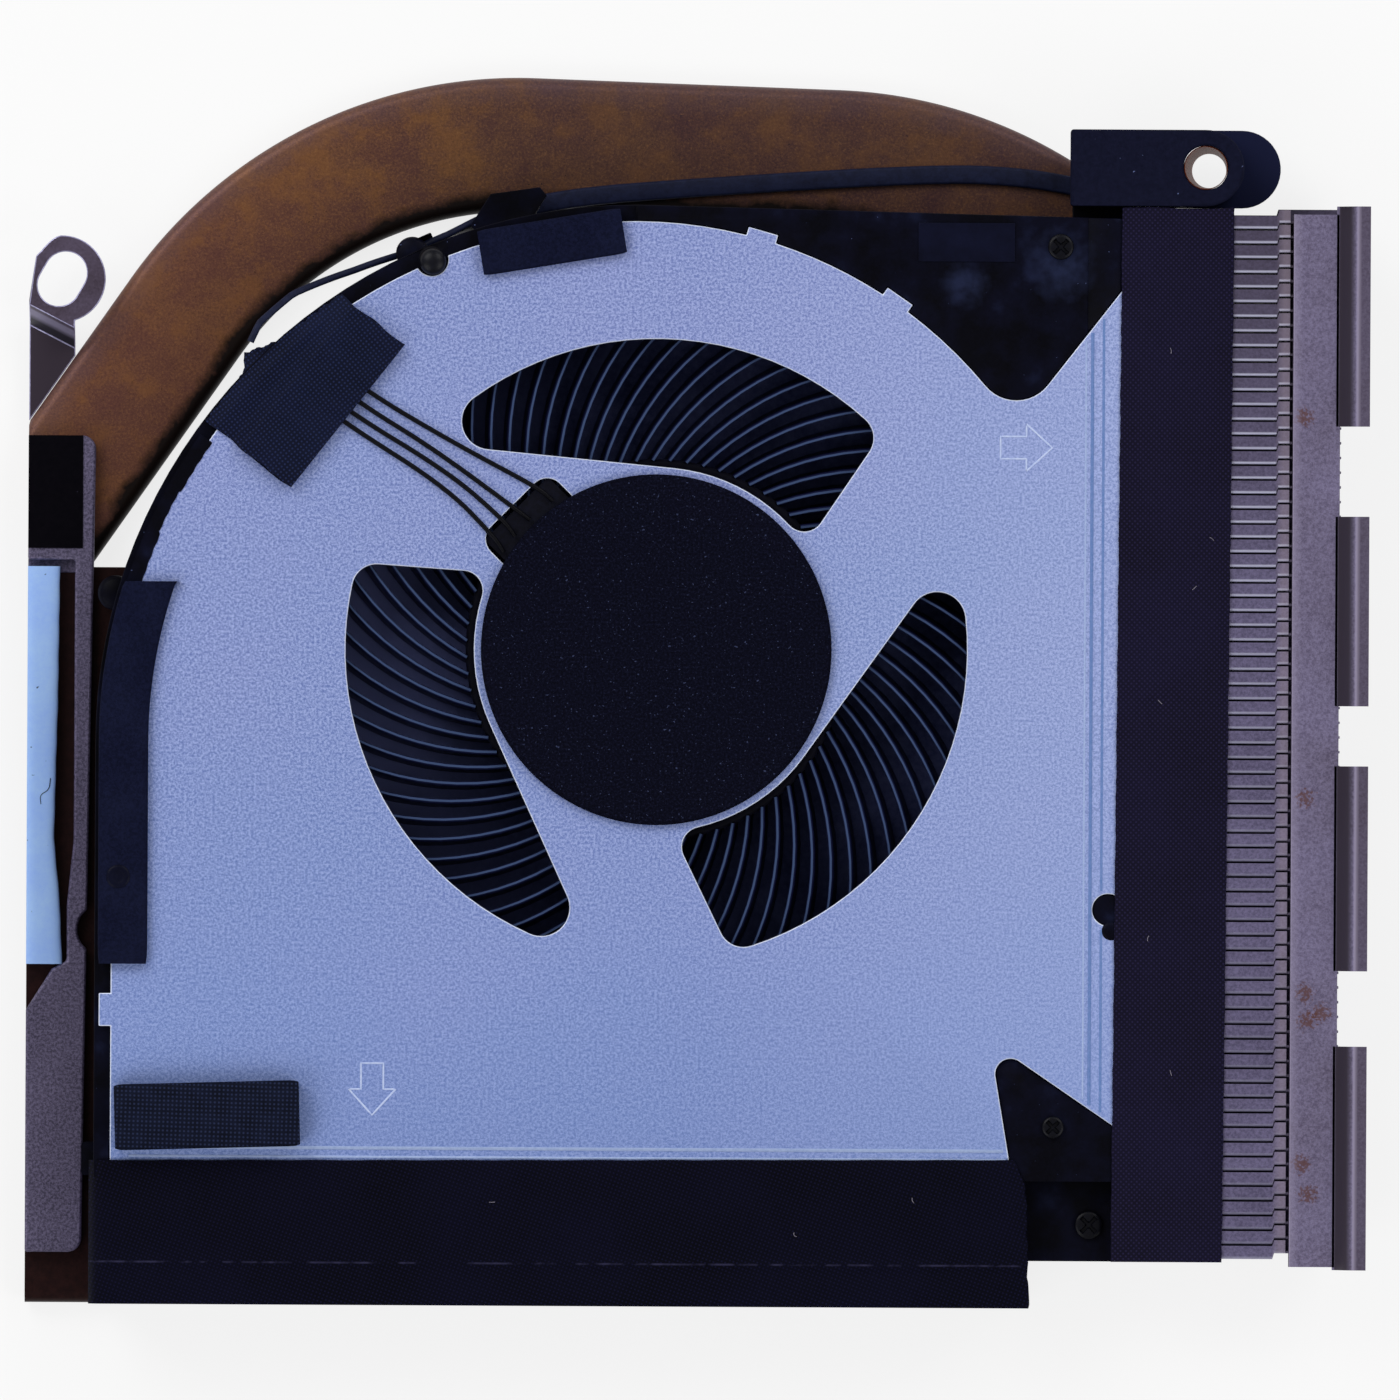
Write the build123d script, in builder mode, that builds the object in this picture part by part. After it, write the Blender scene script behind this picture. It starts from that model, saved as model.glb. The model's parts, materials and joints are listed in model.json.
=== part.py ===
from build123d import *
import math
import os

# Laptop cooling module: a blower fan with fin stacks on its two outlets, flat heat pipes and a cold plate.
# Millimetres, +Z up, towards the motherboard side. Plan places are measured from the fan's axis.
# The origin is the middle of the outline, on the plane that the heat pipes rest on.

# Reach of the whole module below the fan's axis
bottom_reach = 55.8

# Heights
pipe_thickness = 2.2
pipe_clearance = 0.3
floor_thickness = 0.8
housing_depth = 8.0
plate_thickness = 0.5
joggle_drop = 0.4
joggle_run = 0.8
fit_gap = 0.1

# Scroll: the plate's edge is a quarter circle, then a smaller arc to the tongue
scroll_x = -1.8
scroll_y = -8.0
scroll_radius = 44.4
tongue_radius = 38.7
tongue_tip = 3.4
outlet_wall_x = 33.5
outlet_wall_y = 23.1
outlet_wall_angle = 52.0
corner_x = 28.5
corner_y = -33.1
corner_upper_angle = -34.3
corner_left_angle = -80.5
corner_tip = 1.3
wall_thickness = 1.2
plate_seat = 1.0
rim_flange = 1.2
rim_flange_height = 1.2
top_edge_drop = 1.0
outlet_right = 40.5
outlet_bottom = -45.0
joggle_x = 36.5
joggle_y = -42.3

# Openings and details of the plate
inlet_outer = 26.4
inlet_inner = 15.5
inlet_turn = -5.5
inlet_end_x = 12.9
inlet_end_y = 12.3
inlet_end_angle = 61.5
inlet_tip_fillet = 2.4
inlet_outer_fillet = 2.1
inlet_inner_fillet = 1.7
window_angle = 135.0
window_inner = 13.0
window_outer = 17.3
window_width = 8.2
window_fillet = 1.5
clip_angles = (74.2, 55.4)
clip_width = 2.6
clip_reach = 0.7
side_tab_y = -30.8
side_tab_width = 2.8
side_tab_reach = 1.0

# Housing details
stake_angle = 113.0
stake_out = 0.2
stake_radius = 1.1
stake_height = 0.9
stake_fit = 0.3
pillar_x = 38.5
pillar_y = -21.9
pillar_radius = 1.25
lug_left = 31.4
lug_right = 38.8
lug_bottom = -51.8
lug_height = 5.5
arm_left = 35.2
arm_right = 52.9
arm_width = 6.6
arm_base = 4.6
arm_thickness = 1.8
arm_neck = 5.5
arm_root = 1.7
hook_base = 4.7
hook_height = 1.0
hook_angle = 106.0
hook_outline = (
    (0.13, 0.75),
    (1.81, 1.52),
    (3.94, -0.86),
    (3.36, -5.06),
    (2.52, -5.44),
    (-0.17, -2.49),
)
post_angle = 114.0
post_width = 3.2
post_height = 6.5

# Screws in the housing's tongue, corner and lug
tongue_screw_x = 34.2
tongue_screw_inset = 2.0
corner_screw = (33.9, -40.4)
lug_screw = (37.0, -48.7)
screw_head_radius = 1.1
screw_head_height = 0.5
screw_shank_radius = 0.5
screw_length = 3.0
screw_sides = 6
screw_fit = 0.05

# Rotor and motor, from the hub inwards
blade_count = 71
blade_thickness = 0.35
blade_radius = 24.0
blade_lean = 32.0
blade_runs = 3
blade_step = 0.2
rotor_scroll_gap = 2.4
hub_radius = 16.2
hub_wall = 1.3
hub_floor = 0.6
rotor_floor_gap = 0.4
rotor_plate_gap = 0.9
yoke_wall = 0.5
magnet_thickness = 1.6
magnet_height = 4.0
air_gap = 0.4
motor_sides = 24
pole_count = 9
pole_width = 2.2
pole_tip = 1.0
pole_tip_width = 6.8
core_height = 2.0
core_ring = 2.0
coil_thickness = 0.65
coil_gap = 0.6
bearing_radius = 2.5
bearing_cup_wall = 0.8
bearing_cap = 0.6
bearing_end_gap = 0.3
shaft_radius = 1.0
shaft_fit = 0.03
shaft_end_gap = 0.05
board_thickness = 0.6
board_inner = 4.2
board_outer = 14.6
board_tab_width = 7.6
board_tab_outer = 16.9

# Foams, gasket and film
pad_radius = 14.9
pad_height = 0.8
foam_height = 0.9
foam_inset = 3.1
foam_width = 4.2
foam_left_top = 5.5
foam_left_bottom = -26.9
foam_top_left = -15.2
foam_top_right = -2.8
gasket_inset = 0.5
gasket_length = 15.7
gasket_top = -37.0
gasket_bottom = -42.7
gasket_height = 2.2
patch_left = 22.1
patch_right = 30.3
patch_width = 3.3
film_thickness = 0.1

# Tapes over the outlets
tape_thickness = 0.15
side_tape_left = 39.1
side_tape_right = 48.6
side_tape_top_lap = 0.15
side_tape_bottom_lap = 0.3
lower_tape_lap = 1.0
lower_tape_right = 31.0
lower_tape_top = -43.4
tape_flap = 1.0
tape_flap_drop = 1.2
tape_flap_top = -45.2
tape_flap_inset = 3.3

# Cloth tape over the wires, turned with the wires
wire_tape_angle = 132.56
wire_tape_inset = 3.34
wire_tape_turn = 51.7
wire_tape_length = 15.5
wire_tape_inner = 4.15
wire_tape_outer = 5.3
wire_tape_thickness = 0.2
wire_tape_hump = 0.75
hump_start = -1.5
hump_end = 4.2
hump_ramp = 0.7

# Wires: each leaves the tape at a place along and across it, then has a bend, the plate edge and its end
wire_diameter = 0.6
wire_gap = 0.02
wire_sides = 6
wire_run_in = 8.8
wire_routes = (
    ((2.70, 4.45), (-16.8, 17.2), (-9.95, 13.62), (-8.85, 12.6)),
    ((1.52, 4.24), (-18.9, 16.9), (-12.0, 11.88), (-10.8, 11.0)),
    ((0.39, 4.11), (-17.6, 14.9), (-12.95, 10.87), (-12.05, 9.6)),
    ((-0.61, 4.14), (-17.9, 13.7), (-13.77, 9.45), (-13.0, 8.25)),
)

# Flat lead: stands on edge along the rim, then lies flat on the upper heat pipe up to its plug
lead_width = 1.6
lead_thickness = 0.6
lead_wall_gap = 0.15
lead_start_angle = 134.0
lead_end_angle = 107.0
lead_start_z = 10.9
lead_end_z = 4.4
lead_steps = ((-8.4, 0.6), (3.5, 1.6), (23.9, 2.9), (31.0, 2.6), (35.6, 1.8))
lead_bend = 40.0
plug_length = 4.0
plug_width = 3.6
plug_height = 2.0
plug_key = 0.4

# Fin stacks
fin_pitch = 1.25
fin_sheet = 0.2
side_fin_count = 71
side_fin_rim_gap = 0.55
side_fin_left = 41.1
side_fin_right = 58.1
side_flange_right = 53.7
lower_fin_count = 62
lower_fin_lap = 0.6
lower_fin_top = -46.0

# Cover strip on the side fins, with four bent tabs: each tab's middle, from the fins' upper end, and its length
cover_left = 53.95
cover_right = 58.0
cover_thickness = 0.5
cover_overhang = 0.4
tab_places = ((8.65, 18.7), (33.75, 16.1), (55.65, 17.4), (80.15, 19.0))
tab_rise = 1.9
tab_slope_run = 1.2
tab_lip = 1.3

# Heat pipes: flattened tubes with eased sides
pipe_width = 11.4
pipe_edge = 0.75
pipe_bend = 34.6
pipe_rim_lap = 0.55
left_bend_inset = 34.34
right_bend_x = 14.07
right_bend_drop = 0.88
left_run_angle = 145.0
left_run_length = 19.0
side_pipe_inset = 0.5
lower_pipe_right = 30.5

# Cold plate, its window and what lies on it
base_thickness = 1.2
base_width = 8.9
base_top = 6.8
base_pipe_gap = 0.8
cold_plate_thickness = 1.4
cold_plate_top = 18.0
cold_plate_inset = 4.3
cold_plate_gap = 1.35
cold_plate_width = 5.75
cold_plate_lean = 0.95
cold_plate_fillet = 1.2
cold_window = ((0, 7.4), (4.0, 7.4), (4.0, -16.4), (3.45, -21.9), (3.45, -26.7), (2.2, -27.4), (0, -30.9))
notch_lap = 0.7
notch_y = -24.05
notch_radius = 2.1
plate_tape_width = 4.65
plate_tape_bottom = 8.4
thermal_pad_width = 2.7
thermal_pad_top = 6.85
thermal_pad_bottom = -27.0
thermal_pad_height = 1.7

# Bracket ear: a foot on the pipe, a bent wall and a slotted ear
bracket_sheet = 0.6
bracket_rise = 3.4
bracket_turn = -27.0
bracket_bend = (1.9, 18.55)
bracket_wall_run = 1.5
bracket_waist = (3.9, 19.55)
solder_gap = 0.05
ear_place = (2.8, 22.95)
ear_radius = 3.7
slot_length = 4.8
slot_width = 3.6
slot_turn = 60.0

# Rubber mount on the housing's arm, with a metal sleeve in its hole
mount_left = 35.0
mount_step = 0.1
mount_height = 4.6
mount_hole_x = 46.5
mount_hole_out = 3.4
mount_hole_radius = 1.9
sleeve_radius = 1.85
sleeve_bore = 1.48
sleeve_sink = 1.5

# Levels worked out from the heights
floor_z = pipe_thickness + pipe_clearance
floor_top = floor_z + floor_thickness
rim_z = floor_z + housing_depth
plate_top = rim_z + plate_thickness
outlet_z = plate_top - joggle_drop
impeller_z = floor_top + rotor_floor_gap
impeller_top = rim_z - rotor_plate_gap
board_z = rim_z - board_thickness
yoke_floor = impeller_z + hub_floor + yoke_wall
motor_middle = (yoke_floor + board_z) / 2
mount_z = arm_base + arm_thickness

# Radii worked out from the hub inwards
yoke_radius = hub_radius - hub_wall
magnet_radius = yoke_radius - yoke_wall
stator_radius = magnet_radius - magnet_thickness - air_gap
bearing_cup_radius = bearing_radius + bearing_cup_wall

# Edges worked out from the scroll and the pipes
scroll_left = scroll_x - scroll_radius
scroll_top = scroll_y + scroll_radius
flange_reach = wall_thickness - plate_seat + rim_flange
rim_top = scroll_top + flange_reach
impeller_reach = scroll_radius - plate_seat - math.hypot(scroll_x, scroll_y) - rotor_scroll_gap
tongue_y = scroll_top - tongue_radius
left_bend_x = scroll_left + left_bend_inset
left_bend_y = rim_top - pipe_rim_lap + pipe_width / 2 - pipe_bend
right_bend_y = left_bend_y - right_bend_drop
cold_plate_right = scroll_left - wall_thickness + plate_seat - cold_plate_gap
left_end = cold_plate_right - cold_plate_width
arm_top = rim_top + arm_width
mount_hole_y = rim_top + mount_hole_out
lower_tape_left = scroll_left - lower_tape_lap
side_fin_top = rim_top - side_fin_rim_gap
side_fin_bottom = side_fin_top - side_fin_count * fin_pitch

# Screws: place and the level that each head sits on
screw_seats = (
    (tongue_screw_x, scroll_top - tongue_screw_inset, plate_top),
    (*corner_screw, outlet_z),
    (*lug_screw, floor_z + lug_height),
)

# Place of the fan's axis, from the reach on each side
right_reach = cover_right + tab_slope_run + tab_lip
top_reach = left_bend_y + pipe_bend + pipe_width / 2
fan_x = -(left_end + right_reach) / 2
fan_y = (bottom_reach - top_reach) / 2
block_reach = right_reach + top_reach


def level(z):
    # horizontal plane at a height, centred on the fan's axis
    return Plane((fan_x, fan_y, z))


def front(y):
    # upright plane facing -Y, its X along X and its Y up
    return Plane((fan_x, fan_y + y, 0), x_dir=(1, 0, 0), z_dir=(0, -1, 0))


def side(x):
    # upright plane facing +X, its X along Y and its Y up
    return Plane((fan_x + x, fan_y, 0), x_dir=(0, 1, 0), z_dir=(1, 0, 0))


def turned(x, y, angle):
    # a place in plan, turned about Z
    return Location((x, y, 0), (0, 0, angle))


def polar(x, y, radius, angle):
    # the point at a radius and an angle from a centre
    return x + radius * math.cos(math.radians(angle)), y + radius * math.sin(math.radians(angle))


def rectangle_between(left, right, bottom, top, mode=Mode.ADD):
    with Locations((left, bottom)):
        Rectangle(right - left, top - bottom, align=(Align.MIN, Align.MIN), mode=mode)


def fan_outline(reach, right, bottom, drop=0.0, mode=Mode.ADD):
    # quarter-round scroll outline: reach is how far it stands out of the plate's edge
    left = scroll_left - reach
    top = scroll_top + reach
    with BuildLine() as edge:
        Polyline((scroll_x, top), (right, top - drop), (right, bottom), (left, bottom), (left, scroll_y))
        CenterArc((scroll_x, scroll_y), scroll_radius + reach, 180, -90)
    make_face(edge.edges(), mode=mode)


def tongue(grow):
    # plastic between the scroll's last arc and the side outlet's upper wall, grown all round
    with BuildSketch() as shape:
        with Locations((scroll_x, tongue_y)):
            Rectangle(block_reach, block_reach, align=(Align.MIN, Align.MIN))
            Circle(tongue_radius - grow, mode=Mode.SUBTRACT)
        with Locations(turned(outlet_wall_x, outlet_wall_y, outlet_wall_angle)):
            with Locations((0, -grow)):
                Rectangle(2 * block_reach, block_reach, align=(Align.CENTER, Align.MAX), mode=Mode.SUBTRACT)
        fillet(shape.vertices().sort_by(Axis.Y)[0], tongue_tip + grow)
    return shape.sketch


def corner(grow):
    # plastic wedge between the two outlets, grown all round
    with BuildSketch() as shape:
        with Locations((corner_x, corner_y)):
            Rectangle(2 * block_reach, 2 * block_reach)
        with Locations(turned(corner_x, corner_y, corner_upper_angle)):
            with Locations((0, grow)):
                Rectangle(4 * block_reach, 4 * block_reach, align=(Align.CENTER, Align.MIN), mode=Mode.SUBTRACT)
        with Locations(turned(corner_x, corner_y, corner_left_angle)):
            with Locations((0, -grow)):
                Rectangle(4 * block_reach, 4 * block_reach, align=(Align.CENTER, Align.MAX), mode=Mode.SUBTRACT)
        fillet(shape.vertices().sort_by(Axis.Y)[-1], corner_tip + grow)
    return shape.sketch


def clips(grow):
    # the plate's two clip tabs that reach over the tongue
    with BuildSketch() as shape:
        for angle in clip_angles:
            with Locations(turned(scroll_x, tongue_y, angle)):
                with Locations((tongue_radius, 0)):
                    Rectangle(2 * (clip_reach + grow), clip_width + 2 * grow)
    return shape.sketch


def plate_outline(grow):
    with BuildSketch() as shape:
        fan_outline(grow, outlet_right, outlet_bottom)
        add(tongue(-grow), mode=Mode.SUBTRACT)
        add(corner(-grow), mode=Mode.SUBTRACT)
    return shape.sketch


def write(builder, name):
    builder.part.label = name
    export_step(builder.part, f"parts/{name}.step")


os.makedirs("parts", exist_ok=True)

# One inlet, with its straight side level and its tangent point on +Y
with BuildSketch() as inlet:
    Circle(inlet_outer)
    Circle(inlet_inner, mode=Mode.SUBTRACT)
    rectangle_between(-inlet_outer, 0, -inlet_outer, inlet_inner, mode=Mode.SUBTRACT)
    with Locations(turned(inlet_end_x, inlet_end_y, inlet_end_angle)):
        Rectangle(4 * inlet_outer, 2 * inlet_outer, align=(Align.CENTER, Align.MAX), mode=Mode.SUBTRACT)
    fillet(inlet.vertices().sort_by(Axis.X)[0], inlet_tip_fillet)
    fillet(inlet.vertices().sort_by(Axis.X)[-1], inlet_outer_fillet)
    fillet(inlet.vertices().sort_by(Axis.Y)[0], inlet_inner_fillet)

# Stamped base plate of the fan: joggled down at both outlets
stake_place = polar(scroll_x, scroll_y, scroll_radius + stake_out, stake_angle)
with BuildPart() as fan_base_plate:
    with BuildSketch(front(0)):
        with BuildLine():
            Polyline(
                (-block_reach, rim_z),
                (joggle_x, rim_z),
                (joggle_x + joggle_run, outlet_z - plate_thickness),
                (block_reach, outlet_z - plate_thickness),
                (block_reach, outlet_z),
                (joggle_x + joggle_run, outlet_z),
                (joggle_x, plate_top),
                (-block_reach, plate_top),
                close=True,
            )
        make_face()
    extrude(amount=block_reach, both=True)
    with BuildSketch(level(0)):
        rectangle_between(-block_reach, block_reach, -2 * block_reach, joggle_y)
    extrude(amount=2 * plate_top, mode=Mode.SUBTRACT)
    with BuildSketch(side(0)):
        with BuildLine():
            Polyline(
                (joggle_y, rim_z),
                (joggle_y, plate_top),
                (joggle_y - joggle_run, outlet_z),
                (-block_reach, outlet_z),
                (-block_reach, outlet_z - plate_thickness),
                (joggle_y - joggle_run, outlet_z - plate_thickness),
                close=True,
            )
        make_face()
    extrude(amount=block_reach, both=True)
    with BuildSketch(level(0)):
        add(plate_outline(0))
        add(clips(0))
        with Locations((scroll_left - side_tab_reach, side_tab_y)):
            Rectangle(2 * side_tab_reach, side_tab_width, align=(Align.MIN, Align.CENTER))
        with Locations(stake_place):
            Circle(stake_radius + stake_fit, mode=Mode.SUBTRACT)
        with Locations((pillar_x, pillar_y)):
            Circle(pillar_radius + fit_gap, mode=Mode.SUBTRACT)
        with Locations(turned(0, 0, window_angle)):
            with Locations(((window_inner + window_outer) / 2, 0)):
                RectangleRounded(
                    window_outer - window_inner, window_width, window_fillet, mode=Mode.SUBTRACT
                )
    extrude(amount=2 * plate_top, mode=Mode.INTERSECT)
    with BuildSketch(level(rim_z)):
        with PolarLocations(0, 3, start_angle=inlet_turn):
            add(inlet.sketch)
    extrude(amount=plate_thickness, mode=Mode.SUBTRACT)
write(fan_base_plate, "fan_base_plate")

# Moulded housing: scroll wall with a rim flange, hollow tongue block, lead hook and mount arm
lead_radius = scroll_radius + flange_reach + lead_wall_gap + lead_thickness / 2
arm_round = arm_width / 2
with BuildPart() as fan_housing:
    with BuildSketch(level(floor_top)):
        fan_outline(wall_thickness - plate_seat, outlet_right, outlet_bottom, top_edge_drop)
    extrude(amount=rim_z - floor_top)
    with BuildSketch(level(rim_z)):
        fan_outline(flange_reach, outlet_right, outlet_bottom, top_edge_drop)
    extrude(amount=-rim_flange_height)
    with BuildSketch(level(floor_top)):
        fan_outline(-plate_seat, block_reach, -block_reach)
        add(tongue(plate_seat), mode=Mode.SUBTRACT)
    extrude(amount=housing_depth, mode=Mode.SUBTRACT)
    with BuildSketch(level(rim_z)):
        fan_outline(flange_reach, outlet_right, outlet_bottom, top_edge_drop)
        add(tongue(-fit_gap), mode=Mode.INTERSECT)
        add(clips(fit_gap), mode=Mode.SUBTRACT)
    extrude(amount=plate_thickness)
    with BuildSketch(level(outlet_z)):
        rectangle_between(joggle_x, block_reach, -block_reach, block_reach)
    extrude(amount=plate_thickness, mode=Mode.SUBTRACT)
    with BuildSketch(level(outlet_z - plate_thickness)):
        add(plate_outline(fit_gap))
        rectangle_between(-block_reach, joggle_x, joggle_y, block_reach, mode=Mode.SUBTRACT)
    extrude(amount=plate_thickness, mode=Mode.SUBTRACT)
    with BuildSketch(level(floor_top)):
        fan_outline(wall_thickness - plate_seat, outlet_right, outlet_bottom, top_edge_drop)
        add(tongue(plate_seat), mode=Mode.INTERSECT)
        offset(amount=-wall_thickness)
    extrude(amount=rim_z - wall_thickness - floor_top, mode=Mode.SUBTRACT)
    with BuildSketch(level(rim_z)):
        with Locations(stake_place):
            Circle(stake_radius)
    extrude(amount=stake_height)
    stake_top = fan_housing.faces().sort_by_distance(level(2 * plate_top).from_local_coords(stake_place))[0]
    chamfer(stake_top.edges(), stake_radius / 3)
    with BuildSketch(level(arm_base)):
        rectangle_between(arm_left, arm_right - arm_round, rim_top, arm_top)
        with Locations((arm_right - arm_round, rim_top + arm_round)):
            Circle(arm_round)
        rectangle_between(arm_left, arm_left + arm_neck, scroll_top - arm_root, rim_top)
        with Locations((mount_hole_x, mount_hole_y)):
            Circle(mount_hole_radius, mode=Mode.SUBTRACT)
    extrude(amount=arm_thickness)
    with BuildSketch(level(hook_base)):
        with BuildLine():
            Polyline(
                *[
                    polar(*polar(scroll_x, scroll_y, scroll_radius + out, hook_angle), along, hook_angle + 90)
                    for out, along in hook_outline
                ],
                close=True,
            )
        make_face()
    extrude(amount=hook_height)
    for screw_x, screw_y, seat_z in screw_seats[:1]:
        with BuildSketch(level(seat_z)):
            with Locations((screw_x, screw_y)):
                RegularPolygon(screw_shank_radius + screw_fit, screw_sides)
        extrude(amount=-screw_length - screw_fit, mode=Mode.SUBTRACT)
write(fan_housing, "fan_housing")

# Floor of the fan: closed sheet, wedge between the outlets, lug, pillar and lead post
post_reach = lead_radius + lead_thickness / 2 + lead_wall_gap
with BuildPart() as fan_floor:
    with BuildSketch(level(floor_z)):
        fan_outline(wall_thickness - plate_seat, outlet_right, outlet_bottom, top_edge_drop)
        with Locations(turned(scroll_x, scroll_y, post_angle)):
            with Locations((post_reach, 0)):
                Rectangle(2 * (post_reach - scroll_radius), post_width)
    extrude(amount=floor_thickness)
    for wedge_top, wedge_grow in ((outlet_z - plate_thickness, plate_seat), (outlet_z, -fit_gap)):
        with BuildSketch(level(floor_z)):
            fan_outline(wall_thickness - plate_seat, outlet_right, outlet_bottom, top_edge_drop)
            add(corner(wedge_grow), mode=Mode.INTERSECT)
        extrude(amount=wedge_top - floor_z)
    with BuildSketch(level(floor_z)):
        with Locations((pillar_x, pillar_y)):
            Circle(pillar_radius)
    extrude(amount=outlet_z - floor_z)
    with BuildSketch(level(floor_z)):
        rectangle_between(lug_left, lug_right, lug_bottom, outlet_bottom)
    extrude(amount=lug_height)
    with BuildSketch(level(floor_z)):
        with Locations(turned(scroll_x, scroll_y, post_angle)):
            with Locations((post_reach, 0)):
                Rectangle(post_reach - scroll_radius, post_width, align=(Align.MIN, Align.CENTER))
    extrude(amount=post_height)
    for screw_x, screw_y, seat_z in screw_seats[1:]:
        with BuildSketch(level(seat_z)):
            with Locations((screw_x, screw_y)):
                RegularPolygon(screw_shank_radius + screw_fit, screw_sides)
        extrude(amount=-screw_length - screw_fit, mode=Mode.SUBTRACT)
write(fan_floor, "fan_floor")

# Screws with low round heads
with BuildPart() as corner_screws:
    for screw_x, screw_y, seat_z in screw_seats:
        with BuildSketch(level(seat_z)):
            with Locations((screw_x, screw_y)):
                Circle(screw_head_radius)
        extrude(amount=screw_head_height)
        with BuildSketch(level(seat_z)):
            with Locations((screw_x, screw_y)):
                RegularPolygon(screw_shank_radius, screw_sides)
        extrude(amount=-screw_length)
write(corner_screws, "corner_screws")

# Impeller blade: a strip in straight runs, along an arc that leaves the hub at a lean and ends at the reach
blade_x = hub_radius - hub_wall / 2 - blade_radius * math.sin(math.radians(blade_lean))
blade_y = -blade_radius * math.cos(math.radians(blade_lean))
blade_offset = math.hypot(blade_x, blade_y)
blade_cosine = (impeller_reach**2 - blade_offset**2 - blade_radius**2) / (2 * blade_offset * blade_radius)
blade_end = math.degrees(math.atan2(blade_y, blade_x) + math.acos(blade_cosine))
blade_sweep = 90 - blade_lean - blade_end
blade_turns = [blade_end + blade_sweep * run / blade_runs for run in range(blade_runs + 1)]
with BuildSketch() as blade:
    with BuildLine():
        Polyline(
            *[polar(blade_x, blade_y, blade_radius + blade_thickness / 2, turn) for turn in blade_turns],
            *[polar(blade_x, blade_y, blade_radius - blade_thickness / 2, turn) for turn in reversed(blade_turns)],
            close=True,
        )
    make_face()

# Impeller: many thin curved blades round a hub cup
with BuildPart() as impeller:
    with BuildSketch(level(impeller_z)):
        RegularPolygon(hub_radius, blade_count)
    extrude(amount=impeller_top - blade_step - impeller_z)
    with BuildSketch(level(impeller_z + blade_step)):
        with PolarLocations(0, blade_count):
            add(blade.sketch)
    extrude(amount=impeller_top - blade_step - impeller_z)
    with BuildSketch(level(impeller_z + hub_floor)):
        RegularPolygon(yoke_radius, motor_sides)
    extrude(amount=impeller_top - impeller_z, mode=Mode.SUBTRACT)
write(impeller, "impeller")

# Steel cup inside the hub
with BuildPart() as rotor_yoke:
    with BuildSketch(level(impeller_z + hub_floor)):
        RegularPolygon(yoke_radius, motor_sides)
    extrude(amount=yoke_wall)
    with BuildSketch(level(yoke_floor)):
        RegularPolygon(yoke_radius, motor_sides)
        RegularPolygon(magnet_radius, motor_sides, mode=Mode.SUBTRACT)
    extrude(amount=motor_middle + magnet_height / 2 - yoke_floor)
write(rotor_yoke, "rotor_yoke")

# Ring magnet in the cup
with BuildPart() as magnet_ring:
    with BuildSketch(level(motor_middle)):
        RegularPolygon(magnet_radius, motor_sides)
        RegularPolygon(magnet_radius - magnet_thickness, motor_sides, mode=Mode.SUBTRACT)
    extrude(amount=magnet_height / 2, both=True)
write(magnet_ring, "magnet_ring")

# Shaft, welded on the cup
with BuildPart() as rotor_shaft:
    with BuildSketch(level(yoke_floor)):
        Circle(shaft_radius)
    extrude(amount=rim_z - bearing_cap - shaft_end_gap - yoke_floor)
write(rotor_shaft, "rotor_shaft")

# Bearing cup, closed at the plate
with BuildPart() as bearing_cup:
    with BuildSketch(level(rim_z)):
        Circle(bearing_cup_radius)
    extrude(amount=yoke_floor + bearing_end_gap - rim_z)
    with BuildSketch(level(rim_z - bearing_cap)):
        Circle(bearing_radius)
    extrude(amount=yoke_floor + bearing_end_gap - rim_z, mode=Mode.SUBTRACT)
write(bearing_cup, "bearing_cup")

# Bearing sleeve that the shaft runs in
with BuildPart() as bearing_sleeve:
    with BuildSketch(level(rim_z - bearing_cap)):
        Circle(bearing_radius)
        Circle(shaft_radius + shaft_fit, mode=Mode.SUBTRACT)
    extrude(amount=yoke_floor + bearing_end_gap - rim_z + bearing_cap)
write(bearing_sleeve, "bearing_sleeve")

# Stator core: poles from a ring on the bearing cup to broad tips
pole_root = bearing_cup_radius + core_ring
tip_reach = math.sqrt(stator_radius**2 - (pole_tip_width / 2) ** 2)
with BuildPart() as stator_core:
    with BuildSketch(level(motor_middle)):
        with PolarLocations(pole_root / 2, pole_count):
            Rectangle(tip_reach - pole_root / 2, pole_width, align=(Align.MIN, Align.CENTER))
        with PolarLocations(tip_reach, pole_count):
            Rectangle(pole_tip, pole_tip_width, align=(Align.MAX, Align.CENTER))
        RegularPolygon(pole_root, motor_sides)
        Circle(bearing_cup_radius, mode=Mode.SUBTRACT)
    extrude(amount=core_height / 2, both=True)
write(stator_core, "stator_core")

# One coil on each pole
with BuildPart() as stator_coils:
    with BuildSketch(level(motor_middle)):
        with PolarLocations(pole_root + coil_gap, pole_count):
            Rectangle(
                tip_reach - pole_tip - pole_root - 2 * coil_gap,
                pole_width + 2 * coil_thickness,
                align=(Align.MIN, Align.CENTER),
            )
    extrude(amount=core_height / 2 + coil_thickness, both=True)
    with BuildSketch(level(motor_middle)):
        with PolarLocations(pole_root / 2, pole_count):
            Rectangle(stator_radius, pole_width, align=(Align.MIN, Align.CENTER))
    extrude(amount=core_height / 2, both=True, mode=Mode.SUBTRACT)
write(stator_coils, "stator_coils")

# Ring-shaped motor board under the plate, with a tab in the wire window
with BuildPart() as motor_board:
    with BuildSketch(level(board_z)):
        RegularPolygon(board_outer, motor_sides)
        with Locations(turned(0, 0, window_angle)):
            Rectangle(board_tab_outer, board_tab_width, align=(Align.MIN, Align.CENTER))
        RegularPolygon(board_inner, motor_sides, mode=Mode.SUBTRACT)
    extrude(amount=board_thickness)
write(motor_board, "motor_board")

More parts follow.
